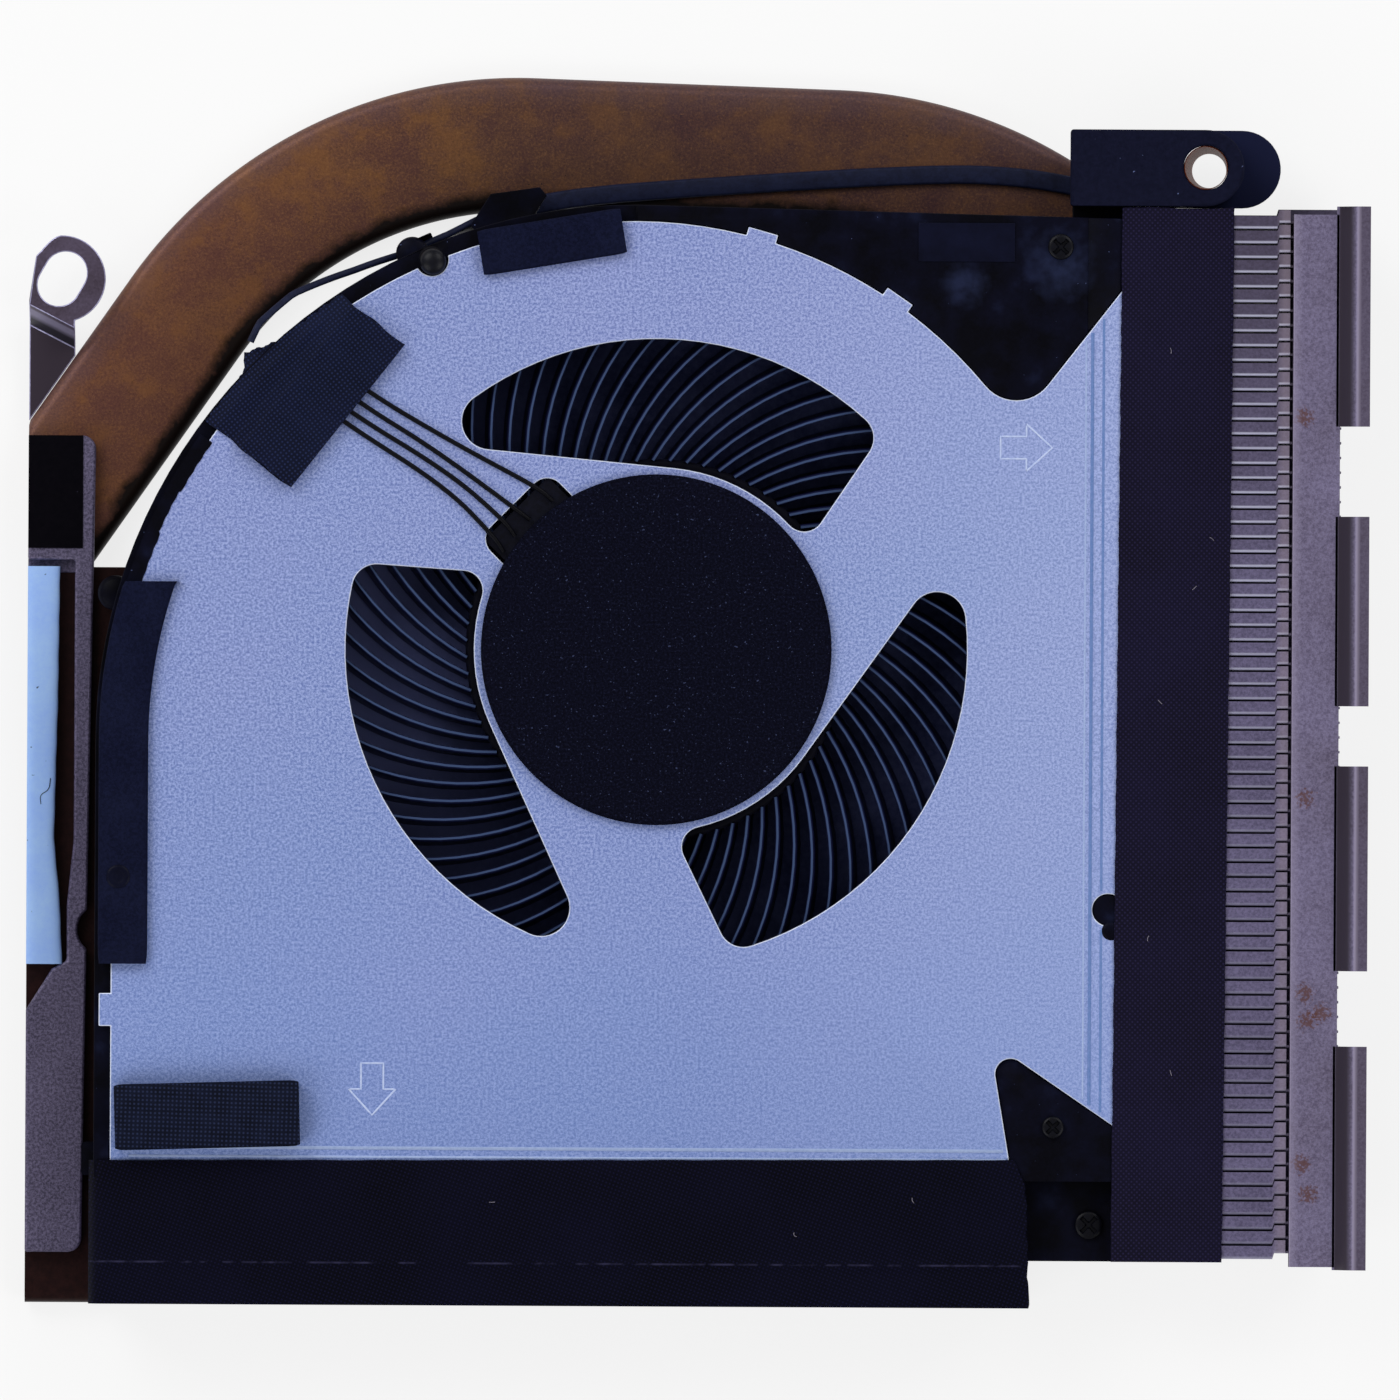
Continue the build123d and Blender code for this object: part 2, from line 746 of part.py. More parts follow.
# Foam disc on the motor seat
with BuildPart() as motor_pad:
    with BuildSketch(level(plate_top)):
        Circle(pad_radius)
    extrude(amount=pad_height)
write(motor_pad, "motor_pad")

# Foam strips along the rim
foam_inner = scroll_radius - foam_inset
foam_outer = foam_inner + foam_width
for foam_name, foam_left, foam_right, foam_bottom, foam_top in (
    ("rim_foam_left", -block_reach, scroll_x - foam_inner / 2, foam_left_bottom, foam_left_top),
    ("rim_foam_top", foam_top_left, foam_top_right, 0, block_reach),
):
    with BuildPart() as rim_foam:
        with BuildSketch(level(plate_top)):
            fan_outline(foam_outer - scroll_radius, 0, -block_reach)
            fan_outline(foam_inner - scroll_radius, 0, -block_reach, mode=Mode.SUBTRACT)
            rectangle_between(foam_left, foam_right, foam_bottom, foam_top, mode=Mode.INTERSECT)
        extrude(amount=foam_height)
    write(rim_foam, foam_name)

# Fabric-over-foam gasket
gasket_left = scroll_left + gasket_inset
with BuildPart() as fabric_gasket:
    with BuildSketch(level(plate_top)):
        rectangle_between(gasket_left, gasket_left + gasket_length, gasket_bottom, gasket_top)
    extrude(amount=gasket_height)
write(fabric_gasket, "fabric_gasket")

# Film patch on the tongue
with BuildPart() as corner_patch:
    with BuildSketch(level(plate_top)):
        rectangle_between(patch_left, patch_right, scroll_top - patch_width, scroll_top)
    extrude(amount=film_thickness)
write(corner_patch, "corner_patch")

# Cloth tapes that bridge from the plate to the fins
with BuildPart() as side_tape:
    with BuildSketch(level(outlet_z)):
        rectangle_between(
            side_tape_left,
            side_tape_right,
            side_fin_bottom - side_tape_bottom_lap,
            side_fin_top + side_tape_top_lap,
        )
    extrude(amount=tape_thickness)
write(side_tape, "side_tape")

with BuildPart() as lower_tape:
    with BuildSketch(level(outlet_z)):
        rectangle_between(lower_tape_left, lower_tape_right, -bottom_reach, lower_tape_top)
    extrude(amount=tape_thickness)
    with BuildSketch(front(tape_flap_top)):
        with BuildLine():
            Polyline(
                (lower_tape_left, outlet_z),
                (lower_tape_left, outlet_z + tape_thickness),
                (lower_tape_left - tape_flap, outlet_z + tape_thickness - tape_flap_drop),
                (lower_tape_left - tape_flap, outlet_z - tape_flap_drop),
                close=True,
            )
        make_face()
    extrude(amount=tape_flap_top + bottom_reach - tape_flap_inset)
write(lower_tape, "lower_tape")

# Cloth tape with a hump over the wires
tape_along = Vector(1, 0).rotate(Axis.Z, wire_tape_turn)
tape_across = tape_along.rotate(Axis.Z, -90)
axis_offset = Vector(fan_x, fan_y)
tape_place = Vector(*polar(scroll_x, scroll_y, scroll_radius - wire_tape_inset, wire_tape_angle))
hump_line = (
    (-wire_tape_length / 2, 0),
    (hump_start, 0),
    (hump_start + hump_ramp, wire_tape_hump),
    (hump_end - hump_ramp, wire_tape_hump),
    (hump_end, 0),
    (wire_tape_length / 2, 0),
)
with BuildPart() as wire_tape:
    with BuildSketch(
        Plane(axis_offset + tape_place - tape_across * wire_tape_outer, x_dir=tape_along, z_dir=tape_across)
    ):
        with BuildLine():
            Polyline(
                *[(along, plate_top + rise) for along, rise in hump_line],
                *[(along, plate_top + rise + wire_tape_thickness) for along, rise in reversed(hump_line)],
                close=True,
            )
        make_face()
    extrude(amount=wire_tape_outer + wire_tape_inner)
write(wire_tape, "wire_tape")

# Motor wires: under the tape, across the plate and down onto the board's tab
upper_wire_z = plate_top + wire_diameter / 2 + wire_gap
lower_wire_z = rim_z + wire_diameter / 2 + wire_gap
with BuildPart() as motor_wires:
    for (along, across), bend, edge, end in wire_routes:
        leave = tape_place + tape_along * along + tape_across * across
        start = leave - tape_across * wire_run_in
        heights = (upper_wire_z, upper_wire_z, upper_wire_z, upper_wire_z, lower_wire_z)
        places = (start, leave, Vector(*bend), Vector(*edge), Vector(*end))
        with BuildLine() as wire_path:
            Polyline(*[(fan_x + place.X, fan_y + place.Y, z) for place, z in zip(places, heights)])
        with BuildSketch(Plane(wire_path.line @ 0, z_dir=wire_path.line % 0)):
            RegularPolygon(wire_diameter / 2, wire_sides)
        sweep(path=wire_path.line, transition=Transition.RIGHT)
write(motor_wires, "motor_wires")

# Flat lead: on edge along the rim and downwards, then flat on the heat pipe
lead_z = pipe_thickness + wire_gap
lead_flat = [(x, rim_top + out) for x, out in lead_steps]
lead_from = Vector(*polar(scroll_x, scroll_y, lead_radius, lead_start_angle))
lead_to = Vector(*polar(scroll_x, scroll_y, lead_radius, lead_end_angle))
lead_chord = lead_to - lead_from
lead_heading = Vector(1, 0).rotate(Axis.Z, lead_end_angle - 90)
flat_from = Vector(*lead_flat[0])
flat_heading = Vector(*lead_flat[1]) - flat_from
with BuildPart() as lead_sleeve:
    with BuildSketch(level(0)):
        with BuildLine():
            CenterArc((scroll_x, scroll_y), lead_radius, lead_end_angle, lead_start_angle - lead_end_angle)
        trace(line_width=lead_thickness)
    extrude(amount=2 * plate_top)
    with BuildSketch(Plane(axis_offset + lead_from, x_dir=lead_chord, z_dir=lead_chord.rotate(Axis.Z, -90))):
        with BuildLine():
            Polyline(
                (-lead_width, lead_start_z),
                (0, lead_start_z),
                (lead_chord.length, lead_end_z),
                (2 * lead_chord.length, lead_end_z),
                (2 * lead_chord.length, lead_end_z - lead_width),
                (lead_chord.length, lead_end_z - lead_width),
                (0, lead_start_z - lead_width),
                (-lead_width, lead_start_z - lead_width),
                close=True,
            )
        make_face()
    extrude(amount=block_reach, both=True, mode=Mode.INTERSECT)
    with BuildSketch(
        Plane(
            axis_offset + lead_to + Vector(0, 0, lead_end_z - lead_width / 2),
            x_dir=lead_heading.rotate(Axis.Z, -90),
            z_dir=lead_heading,
        )
    ):
        Rectangle(lead_thickness, lead_width)
    with BuildSketch(
        Plane(
            axis_offset + flat_from + Vector(0, 0, lead_z + lead_thickness / 2),
            x_dir=flat_heading.rotate(Axis.Z, -90),
            z_dir=flat_heading,
        )
    ):
        Rectangle(lead_width, lead_thickness)
    loft()
    with BuildSketch(level(lead_z)):
        with BuildLine():
            FilletPolyline(*lead_flat, radius=lead_bend)
        trace(line_width=lead_width)
    extrude(amount=lead_thickness)
write(lead_sleeve, "lead_sleeve")

# Plug on the lead's end, with two keys on its top
lead_end_x, lead_end_y = lead_flat[-1]
plug_turn = math.degrees(math.atan2(lead_end_y - lead_flat[-2][1], lead_end_x - lead_flat[-2][0]))
with BuildPart() as lead_plug:
    with BuildSketch(level(lead_z)):
        with Locations(turned(lead_end_x, lead_end_y, plug_turn)):
            Rectangle(plug_length, plug_width, align=(Align.MIN, Align.CENTER))
    extrude(amount=plug_height - plug_key)
    with BuildSketch(level(lead_z + plug_height - plug_key)):
        with Locations(turned(lead_end_x, lead_end_y, plug_turn)):
            with GridLocations(0, plug_width / 2, 1, 2):
                Rectangle(plug_length, plug_key, align=(Align.MIN, Align.CENTER))
    extrude(amount=plug_key)
write(lead_plug, "lead_plug")

# Side fins: upright sheets, closed above and below by the sheets that their folded edges make
web_z = pipe_thickness + fin_sheet
web_height = outlet_z - fin_sheet - web_z
with BuildPart(level(web_z)) as side_fins:
    with Locations((side_fin_left, side_fin_bottom)):
        with GridLocations(0, fin_pitch, 1, side_fin_count, align=Align.MIN):
            Box(side_fin_right - side_fin_left, fin_sheet, web_height, align=(Align.MIN, Align.MIN, Align.MIN))
write(side_fins, "side_fins")

with BuildPart() as side_fin_sheets:
    for sheet_z, sheet_right in (
        (pipe_thickness, side_fin_right),
        (outlet_z - fin_sheet, side_flange_right),
    ):
        with BuildSketch(level(sheet_z)):
            rectangle_between(side_fin_left, sheet_right, side_fin_bottom, side_fin_top)
        extrude(amount=fin_sheet)
write(side_fin_sheets, "side_fin_sheets")

# Lower fins, built the same way
lower_fin_left = scroll_left - lower_fin_lap
lower_fin_length = bottom_reach + lower_fin_top
with BuildPart(level(web_z)) as lower_fins:
    with Locations((lower_fin_left, -bottom_reach)):
        with GridLocations(fin_pitch, 0, lower_fin_count, 1, align=Align.MIN):
            Box(fin_sheet, lower_fin_length, web_height, align=(Align.MIN, Align.MIN, Align.MIN))
write(lower_fins, "lower_fins")

with BuildPart() as lower_fin_sheets:
    for sheet_z in (pipe_thickness, outlet_z - fin_sheet):
        with BuildSketch(level(sheet_z)):
            with Locations((lower_fin_left, -bottom_reach)):
                Rectangle(lower_fin_count * fin_pitch, lower_fin_length, align=(Align.MIN, Align.MIN))
        extrude(amount=fin_sheet)
write(lower_fin_sheets, "lower_fin_sheets")

# Cover strip on the side fins, its tabs bent up and out
cover_z = outlet_z - fin_sheet
tab_mitre = cover_thickness * math.tan(math.atan2(tab_rise, tab_slope_run) / 2)
tab_line = (
    (cover_left, 0, 0),
    (cover_right, 0, tab_mitre),
    (cover_right + tab_slope_run, tab_rise, tab_mitre),
    (right_reach, tab_rise, 0),
)
with BuildPart() as fin_cover:
    with BuildSketch(level(cover_z)):
        rectangle_between(cover_left, cover_right, side_fin_bottom - cover_overhang, side_fin_top)
    extrude(amount=cover_thickness)
    for tab_down, tab_length in tab_places:
        with BuildSketch(front(side_fin_top - tab_down)):
            with BuildLine():
                Polyline(
                    *[(x, cover_z + rise) for x, rise, mitre in tab_line],
                    *[(x - mitre, cover_z + rise + cover_thickness) for x, rise, mitre in reversed(tab_line)],
                    close=True,
                )
            make_face()
        extrude(amount=tab_length / 2, both=True)
write(fin_cover, "fin_cover")

# Section of the flattened pipes
with BuildSketch() as pipe_section:
    Rectangle(pipe_width, pipe_thickness)
    chamfer(pipe_section.vertices(), pipe_edge)

# Upper heat pipe: from under the cold plate, round the fan and down under the side fins
top_angle = 90 + math.degrees(math.atan2(right_bend_y - left_bend_y, right_bend_x - left_bend_x))
run_start = polar(left_bend_x, left_bend_y, pipe_bend, left_run_angle)
side_run_x = right_bend_x + pipe_bend
with BuildPart() as upper_heat_pipe:
    with BuildLine(level(pipe_thickness / 2)) as pipe_path:
        Line(polar(*run_start, left_run_length, left_run_angle + 90), run_start)
        CenterArc((left_bend_x, left_bend_y), pipe_bend, left_run_angle, top_angle - left_run_angle)
        Line(
            polar(left_bend_x, left_bend_y, pipe_bend, top_angle),
            polar(right_bend_x, right_bend_y, pipe_bend, top_angle),
        )
        CenterArc((right_bend_x, right_bend_y), pipe_bend, top_angle, -top_angle)
        Line((side_run_x, right_bend_y), (side_run_x, side_fin_bottom + side_pipe_inset))
    pipe_wire = pipe_path.wire()
    with BuildSketch(Plane(pipe_wire @ 0, x_dir=(pipe_wire % 0).rotate(Axis.Z, 90), z_dir=pipe_wire % 0)):
        add(pipe_section.sketch)
    sweep(path=pipe_wire)
    with BuildSketch(level(0)):
        rectangle_between(left_end - block_reach, left_end, -block_reach, block_reach)
    extrude(amount=pipe_thickness, mode=Mode.SUBTRACT)
write(upper_heat_pipe, "upper_heat_pipe")

# Lower heat pipe, straight under the lower fins
with BuildPart() as lower_heat_pipe:
    with BuildSketch(side(left_end)):
        with Locations((pipe_width / 2 - bottom_reach, pipe_thickness / 2)):
            add(pipe_section.sketch)
    extrude(amount=lower_pipe_right - left_end)
write(lower_heat_pipe, "lower_heat_pipe")

# Copper base under the cold plate
base_bottom = pipe_width + base_pipe_gap - bottom_reach
with BuildPart() as copper_base:
    with BuildSketch(level(pipe_thickness)):
        rectangle_between(left_end, left_end + base_width, base_bottom, base_top)
    extrude(amount=-base_thickness)
write(copper_base, "copper_base")

# Plated cold plate with a window that is open to the left
cold_plate_bottom = cold_plate_inset - bottom_reach
with BuildPart() as cold_plate:
    with BuildSketch(level(pipe_thickness)) as plate_shape:
        with BuildLine():
            Polyline(
                (left_end, cold_plate_top),
                (cold_plate_right, cold_plate_top),
                (cold_plate_right - cold_plate_lean, cold_plate_bottom),
                (left_end, cold_plate_bottom),
                close=True,
            )
        make_face()
        fillet(plate_shape.vertices().group_by(Axis.X)[-1], cold_plate_fillet)
        fillet(plate_shape.vertices().sort_by(Axis.Y)[:2].sort_by(Axis.X)[-1], cold_plate_fillet)
        with BuildLine():
            Polyline(*[(left_end + depth, y) for depth, y in cold_window], close=True)
        make_face(mode=Mode.SUBTRACT)
        with Locations((cold_plate_right + notch_lap, notch_y)):
            Circle(notch_radius, mode=Mode.SUBTRACT)
    extrude(amount=cold_plate_thickness)
write(cold_plate, "cold_plate")

# Black film on the cold plate
with BuildPart() as cold_plate_tape:
    with BuildSketch(level(pipe_thickness + cold_plate_thickness)):
        rectangle_between(left_end, left_end + plate_tape_width, plate_tape_bottom, cold_plate_top)
    extrude(amount=film_thickness)
write(cold_plate_tape, "cold_plate_tape")

# Thermal pad in the window
with BuildPart() as thermal_pad:
    with BuildSketch(level(pipe_thickness)):
        rectangle_between(left_end, left_end + thermal_pad_width, thermal_pad_bottom, thermal_pad_top)
    extrude(amount=thermal_pad_height)
write(thermal_pad, "thermal_pad")

# Bracket: a foot along the pipe's side, a bent wall and an ear with a slot
bracket_along = Vector(1, 0).rotate(Axis.Z, bracket_turn)
bracket_across = bracket_along.rotate(Axis.Z, 90)
foot_z = (pipe_thickness - bracket_sheet) / 2
(bend_x, bend_y), (waist_x, waist_y), (ear_x, ear_y) = [
    (left_end + inward, left_bend_y + upward) for inward, upward in (bracket_bend, bracket_waist, ear_place)
]
foot_corner = polar(left_bend_x, left_bend_y, pipe_bend + pipe_width / 2 + solder_gap, left_run_angle)
run_slope = math.cos(math.radians(left_run_angle + 90))
foot_upper = polar(*foot_corner, (waist_x - foot_corner[0]) / run_slope, left_run_angle + 90)
foot_lower = polar(*foot_corner, (left_end - foot_corner[0]) / run_slope, left_run_angle + 90)
bracket_plane = Plane(axis_offset + Vector(bend_x, bend_y), x_dir=bracket_across, z_dir=bracket_along)
bracket_mitre = bracket_sheet * math.tan(math.atan2(bracket_rise, bracket_wall_run) / 2)
bracket_line = (
    (-block_reach, 0, 0),
    (0, 0, bracket_mitre),
    (bracket_wall_run, bracket_rise, bracket_mitre),
    (block_reach, bracket_rise, 0),
)
with BuildPart() as bracket_ear:
    with BuildSketch(bracket_plane):
        with BuildLine():
            Polyline(
                *[(x, foot_z + rise) for x, rise, mitre in bracket_line],
                *[(x - mitre, foot_z + rise + bracket_sheet) for x, rise, mitre in reversed(bracket_line)],
                close=True,
            )
        make_face()
    extrude(amount=block_reach, both=True)
    with BuildSketch(level(0)):
        with BuildLine():
            Polyline(
                (left_end, ear_y),
                (ear_x + ear_radius, ear_y),
                (waist_x, waist_y),
                foot_upper,
                foot_lower,
                close=True,
            )
        make_face()
        with Locations((ear_x, ear_y)):
            Circle(ear_radius)
        rectangle_between(left_end - block_reach, left_end, -block_reach, block_reach, mode=Mode.SUBTRACT)
        with Locations((ear_x, ear_y)):
            SlotOverall(slot_length, slot_width, rotation=slot_turn, mode=Mode.SUBTRACT)
    extrude(amount=2 * plate_top, mode=Mode.INTERSECT)
write(bracket_ear, "bracket_ear")

# Rubber block on the arm, round about its hole at one end
mount_bottom = rim_top + mount_step
mount_round = (arm_top - mount_bottom) / 2
with BuildPart() as rubber_mount:
    with BuildSketch(level(mount_z)):
        rectangle_between(mount_left, mount_hole_x, mount_bottom, arm_top)
        with Locations((mount_hole_x, mount_bottom + mount_round)):
            Circle(mount_round)
        with Locations((mount_hole_x, mount_hole_y)):
            Circle(mount_hole_radius, mode=Mode.SUBTRACT)
    extrude(amount=mount_height)
write(rubber_mount, "rubber_mount")

# Metal sleeve through the arm and the rubber
with BuildPart() as mount_sleeve:
    with BuildSketch(level(arm_base)):
        with Locations((mount_hole_x, mount_hole_y)):
            Circle(sleeve_radius)
            Circle(sleeve_bore, mode=Mode.SUBTRACT)
    extrude(amount=arm_thickness + mount_height - sleeve_sink)
write(mount_sleeve, "mount_sleeve")
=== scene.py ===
import bpy
import bmesh
import json
import math
import numpy as np
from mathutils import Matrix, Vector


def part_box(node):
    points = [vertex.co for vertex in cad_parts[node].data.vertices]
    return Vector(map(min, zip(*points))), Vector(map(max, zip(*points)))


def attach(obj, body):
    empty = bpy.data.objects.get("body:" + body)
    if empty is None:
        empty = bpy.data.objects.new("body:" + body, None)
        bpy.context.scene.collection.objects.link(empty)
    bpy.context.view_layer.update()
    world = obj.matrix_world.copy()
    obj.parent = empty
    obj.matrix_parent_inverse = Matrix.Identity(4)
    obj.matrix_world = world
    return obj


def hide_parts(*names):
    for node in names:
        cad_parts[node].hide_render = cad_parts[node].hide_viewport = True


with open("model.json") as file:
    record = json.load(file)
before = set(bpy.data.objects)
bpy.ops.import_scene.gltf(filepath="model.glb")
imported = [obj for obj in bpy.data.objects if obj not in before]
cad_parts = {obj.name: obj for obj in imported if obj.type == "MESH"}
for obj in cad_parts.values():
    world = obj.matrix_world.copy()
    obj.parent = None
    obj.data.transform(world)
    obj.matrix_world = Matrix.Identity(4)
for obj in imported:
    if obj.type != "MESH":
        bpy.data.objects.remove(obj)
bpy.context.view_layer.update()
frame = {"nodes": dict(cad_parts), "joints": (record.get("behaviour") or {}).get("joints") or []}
nodes = frame["nodes"]
scene = bpy.context.scene
rng = np.random.default_rng(7)

# plan places are millimetres from the fan's axis, heights are millimetres above the pipes' underside
spinJoint = frame["joints"][0]
fanAxis = np.array([spinJoint["pos_m"][0], spinJoint["pos_m"][1], 0.0])
scrollCentre = np.array([-1.8, -8.0])
plateTop = 11.0
print("frame loaded")


def toFrame(points):
    return np.asarray(points, float) * 0.001 + fanAxis


def boxOf(node):
    low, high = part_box(node)
    return (np.array(low) - fanAxis) * 1000, (np.array(high) - fanAxis) * 1000


def spotsOf(piece):
    flat = np.empty(len(piece.data.vertices) * 3)
    piece.data.vertices.foreach_get("co", flat)
    return (flat.reshape(-1, 3) - fanAxis) * 1000


def moveSpots(piece, spots):
    piece.data.vertices.foreach_set("co", toFrame(spots).ravel())


def rays(angles):
    return np.stack([np.cos(angles), np.sin(angles)], -1)


def gridOf(x, y, z):
    return np.stack(np.broadcast_arrays(x, y, z), -1)


def lifted(plan, height):
    # plan points with one height for all of them or one for each
    plan = np.asarray(plan, float)
    return gridOf(plan[..., 0], plan[..., 1], height)


def unit(vectors):
    return vectors / np.linalg.norm(vectors, axis=1)[:, None]


def turned(points, degrees):
    a = math.radians(degrees)
    return np.asarray(points, float) @ np.array([[math.cos(a), math.sin(a)], [-math.sin(a), math.cos(a)]])


def rounded(points, rounds=4):
    # corner cutting: each pass puts points at a quarter and three quarters of every span
    points = np.asarray(points, float)
    for _ in range(rounds):
        a, b = points[:-1], points[1:]
        cut = np.stack([0.75 * a + 0.25 * b, 0.25 * a + 0.75 * b], 1).reshape(-1, points.shape[1])
        points = np.concatenate([points[:1], cut, points[-1:]])
    return points


def roundRect(width, height, radius, steps=4):
    # four quarter circles, one round each corner's centre
    a = np.linspace(0, math.pi / 2, steps + 1)
    corners = np.array([[1, 1], [-1, 1], [-1, -1], [1, -1]]) * [width / 2 - radius, height / 2 - radius]
    arcs = radius * rays(a[None] + np.arange(4)[:, None] * math.pi / 2)
    return (corners[:, None] + arcs).reshape(-1, 2)


def alongPath(path, profile, closed=False, side=None):
    # the profile's first number goes across the path and its second one upwards
    path = np.asarray(path, float)
    tangent = unit(np.roll(path, -1, 0) - np.roll(path, 1, 0) if closed else np.gradient(path, axis=0))
    side = unit(np.cross(tangent, [0, 0, 1.0]) if side is None else side)
    up = np.cross(side, tangent)
    loops = path[:, None] + profile[None, :, :1] * side[:, None] + profile[None, :, 1:] * up[:, None]
    return np.concatenate([loops, loops[:1]]) if closed else loops


def revolved(profile, centre, columns=40):
    # rows of radius and height, carried round an upright axis
    profile = np.asarray(profile, float)
    a = np.linspace(0, 2 * math.pi, columns, endpoint=False)
    return lifted(np.asarray(centre, float) + profile[:, None, :1] * rays(a), profile[:, 1:])


def addMesh(name, bm, finish, body="frame", replaced=(), sharp=40):
    mesh = bpy.data.meshes.new(name)
    bm.to_mesh(mesh)
    bm.free()
    mesh.polygons.foreach_set("use_smooth", np.ones(len(mesh.polygons), bool))
    mesh.set_sharp_from_angle(angle=math.radians(sharp))
    mesh.materials.append(finish["material"])
    piece = bpy.data.objects.new(name, mesh)
    scene.collection.objects.link(piece)
    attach(piece, body)
    if replaced:
        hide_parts(*replaced)
    return piece


def loft(name, loops, finish, body="frame", replaced=(), caps=True, sharp=40):
    # joins neighbouring closed loops with quads and closes both ends of every copy
    loops = np.asarray(loops, float)
    loops = loops[None] if loops.ndim == 3 else loops
    index = np.arange(loops[..., 0].size).reshape(loops.shape[:3])
    after = np.roll(index, -1, axis=2)
    quads = np.stack([index[:, :-1], after[:, :-1], after[:, 1:], index[:, 1:]], -1).reshape(-1, 4)
    faces = quads.tolist()
    if caps:
        faces += index[:, 0, ::-1].tolist() + index[:, -1].tolist()
    raw = bpy.data.meshes.new(name + "Raw")
    raw.from_pydata(toFrame(loops.reshape(-1, 3)).tolist(), [], faces)
    bm = bmesh.new()
    bm.from_mesh(raw)
    bpy.data.meshes.remove(raw)
    bmesh.ops.remove_doubles(bm, verts=bm.verts, dist=1e-7)
    bmesh.ops.recalc_face_normals(bm, faces=bm.faces)
    return addMesh(name, bm, finish, body, replaced, sharp)


def bevelled(piece, width, segments, angle, edge):
    bevel = piece.modifiers.new("edges", "BEVEL")
    bevel.width, bevel.segments, bevel.limit_method = width * 0.001, segments, "ANGLE"
    bevel.angle_limit = math.radians(angle)
    if edge:
        piece.data.materials.append(edge["material"])
        bevel.material = 1


def softened(name, node, width, finish, edge=None, segments=2):
    # a merged copy of a CAD node with its sharp edges rounded by a small bevel
    bm = bmesh.new()
    bm.from_mesh(nodes[node].data)
    bm.transform(nodes[node].matrix_world)
    bmesh.ops.remove_doubles(bm, verts=bm.verts, dist=1e-6)
    bmesh.ops.dissolve_limit(bm, angle_limit=math.radians(0.5), verts=bm.verts, edges=bm.edges)
    piece = addMesh(name, bm, finish, "frame", (node,), 30)
    bevelled(piece, width, segments, 35, edge)
    return piece


def toLinear(code):
    rgb = np.array([int(code[i:i + 2], 16) for i in (1, 3, 5)]) / 255
    low, high = rgb / 12.92, ((rgb + 0.055) / 1.055) ** 2.4
    return (*np.where(rgb <= 0.04045, low, high).tolist(), 1.0)


def addNode(tree, kind, inputs=None, output=None, stops=None, **settings):
    # adds one shader node; each input is a value or another node's output
    node = tree.nodes.new("ShaderNode" + kind)
    for key, value in settings.items():
        setattr(node, key, value)
    if stops:
        elements = node.color_ramp.elements
        while len(elements) < len(stops):
            elements.new(1.0)
        for element, (position, code) in zip(elements, stops):
            element.position, element.color = position, toLinear(code)
    for key, value in (inputs or {}).items():
        named = [s for s in node.inputs if s.enabled and s.name == key]
        socket = node.inputs[key] if isinstance(key, int) else named[0]
        if isinstance(value, bpy.types.NodeSocket):
            tree.links.new(value, socket)
        else:
            socket.default_value = value
    return node.outputs[output] if output else [s for s in node.outputs if s.enabled][0]


def newFinish(name, tones, grain, roughness, metallic=0.0, clouds=None, cloud=20.0, cloudShare=0.5,
              specks=None, bump=0.0, shine=0.5):
    # grain and cloud are pattern sizes in millimetres; specks are colour, size and noise threshold;
    # two bare tones make a ramp from 0.3 to 0.7
    tones = list(zip((0.3, 0.7), tones)) if isinstance(tones[0], str) else tones
    material = bpy.data.materials.new(name)
    material.use_nodes = True
    tree = material.node_tree
    shader = tree.nodes["Principled BSDF"]
    place = addNode(tree, "TexCoord", output="Object")
    fine = addNode(tree, "TexNoise", {"Vector": place, "Scale": 1000 / grain, "Detail": 4.0,
                                      "Roughness": 0.8})
    tone = addNode(tree, "ValToRGB", {"Fac": fine}, stops=tones)
    if clouds:
        wide = addNode(tree, "TexNoise", {"Vector": place, "Scale": 1000 / cloud, "Detail": 4.0})
        tint = addNode(tree, "ValToRGB", {"Fac": wide}, stops=clouds)
        tone = addNode(tree, "Mix", {"Factor": cloudShare, "A": tone, "B": tint}, data_type="RGBA")
    if specks:
        code, size, level = specks
        dots = addNode(tree, "TexNoise", {"Vector": place, "Scale": 1000 / size, "Detail": 1.0})
        mask = addNode(tree, "MapRange", {"Value": dots, "From Min": level, "From Max": level + 0.04})
        tone = addNode(tree, "Mix", {"Factor": mask, "A": tone, "B": toLinear(code)}, data_type="RGBA")
    tree.links.new(tone, shader.inputs["Base Color"])
    shader.inputs["Roughness"].default_value = roughness
    shader.inputs["Metallic"].default_value = metallic
    shader.inputs["Specular IOR Level"].default_value = shine
    if bump:
        raised = addNode(tree, "Bump", {"Height": fine, "Strength": 0.6, "Distance": bump * 0.001})
        tree.links.new(raised, shader.inputs["Normal"])
    return {"material": material, "tree": tree, "shader": shader, "place": place, "tone": tone}


def axisMask(made, axis, first, last, most=1.0, least=0.0):
    # goes from least to most between two places in millimetres on an axis, or, for "normalX" and the like,
    # between two values of that part of the surface's normal
    vector = made["place"]
    if axis.startswith("normal"):
        axis, vector = axis[-1], addNode(made["tree"], "NewGeometry", output="Normal")
    else:
        first, last = (toFrame([place] * 3)["XYZ".index(axis)] for place in (first, last))
    part = addNode(made["tree"], "SeparateXYZ", {0: vector}, output=axis)
    return addNode(made["tree"], "MapRange", {"Value": part, "From Min": first, "From Max": last,
                                              "To Min": least, "To Max": most})


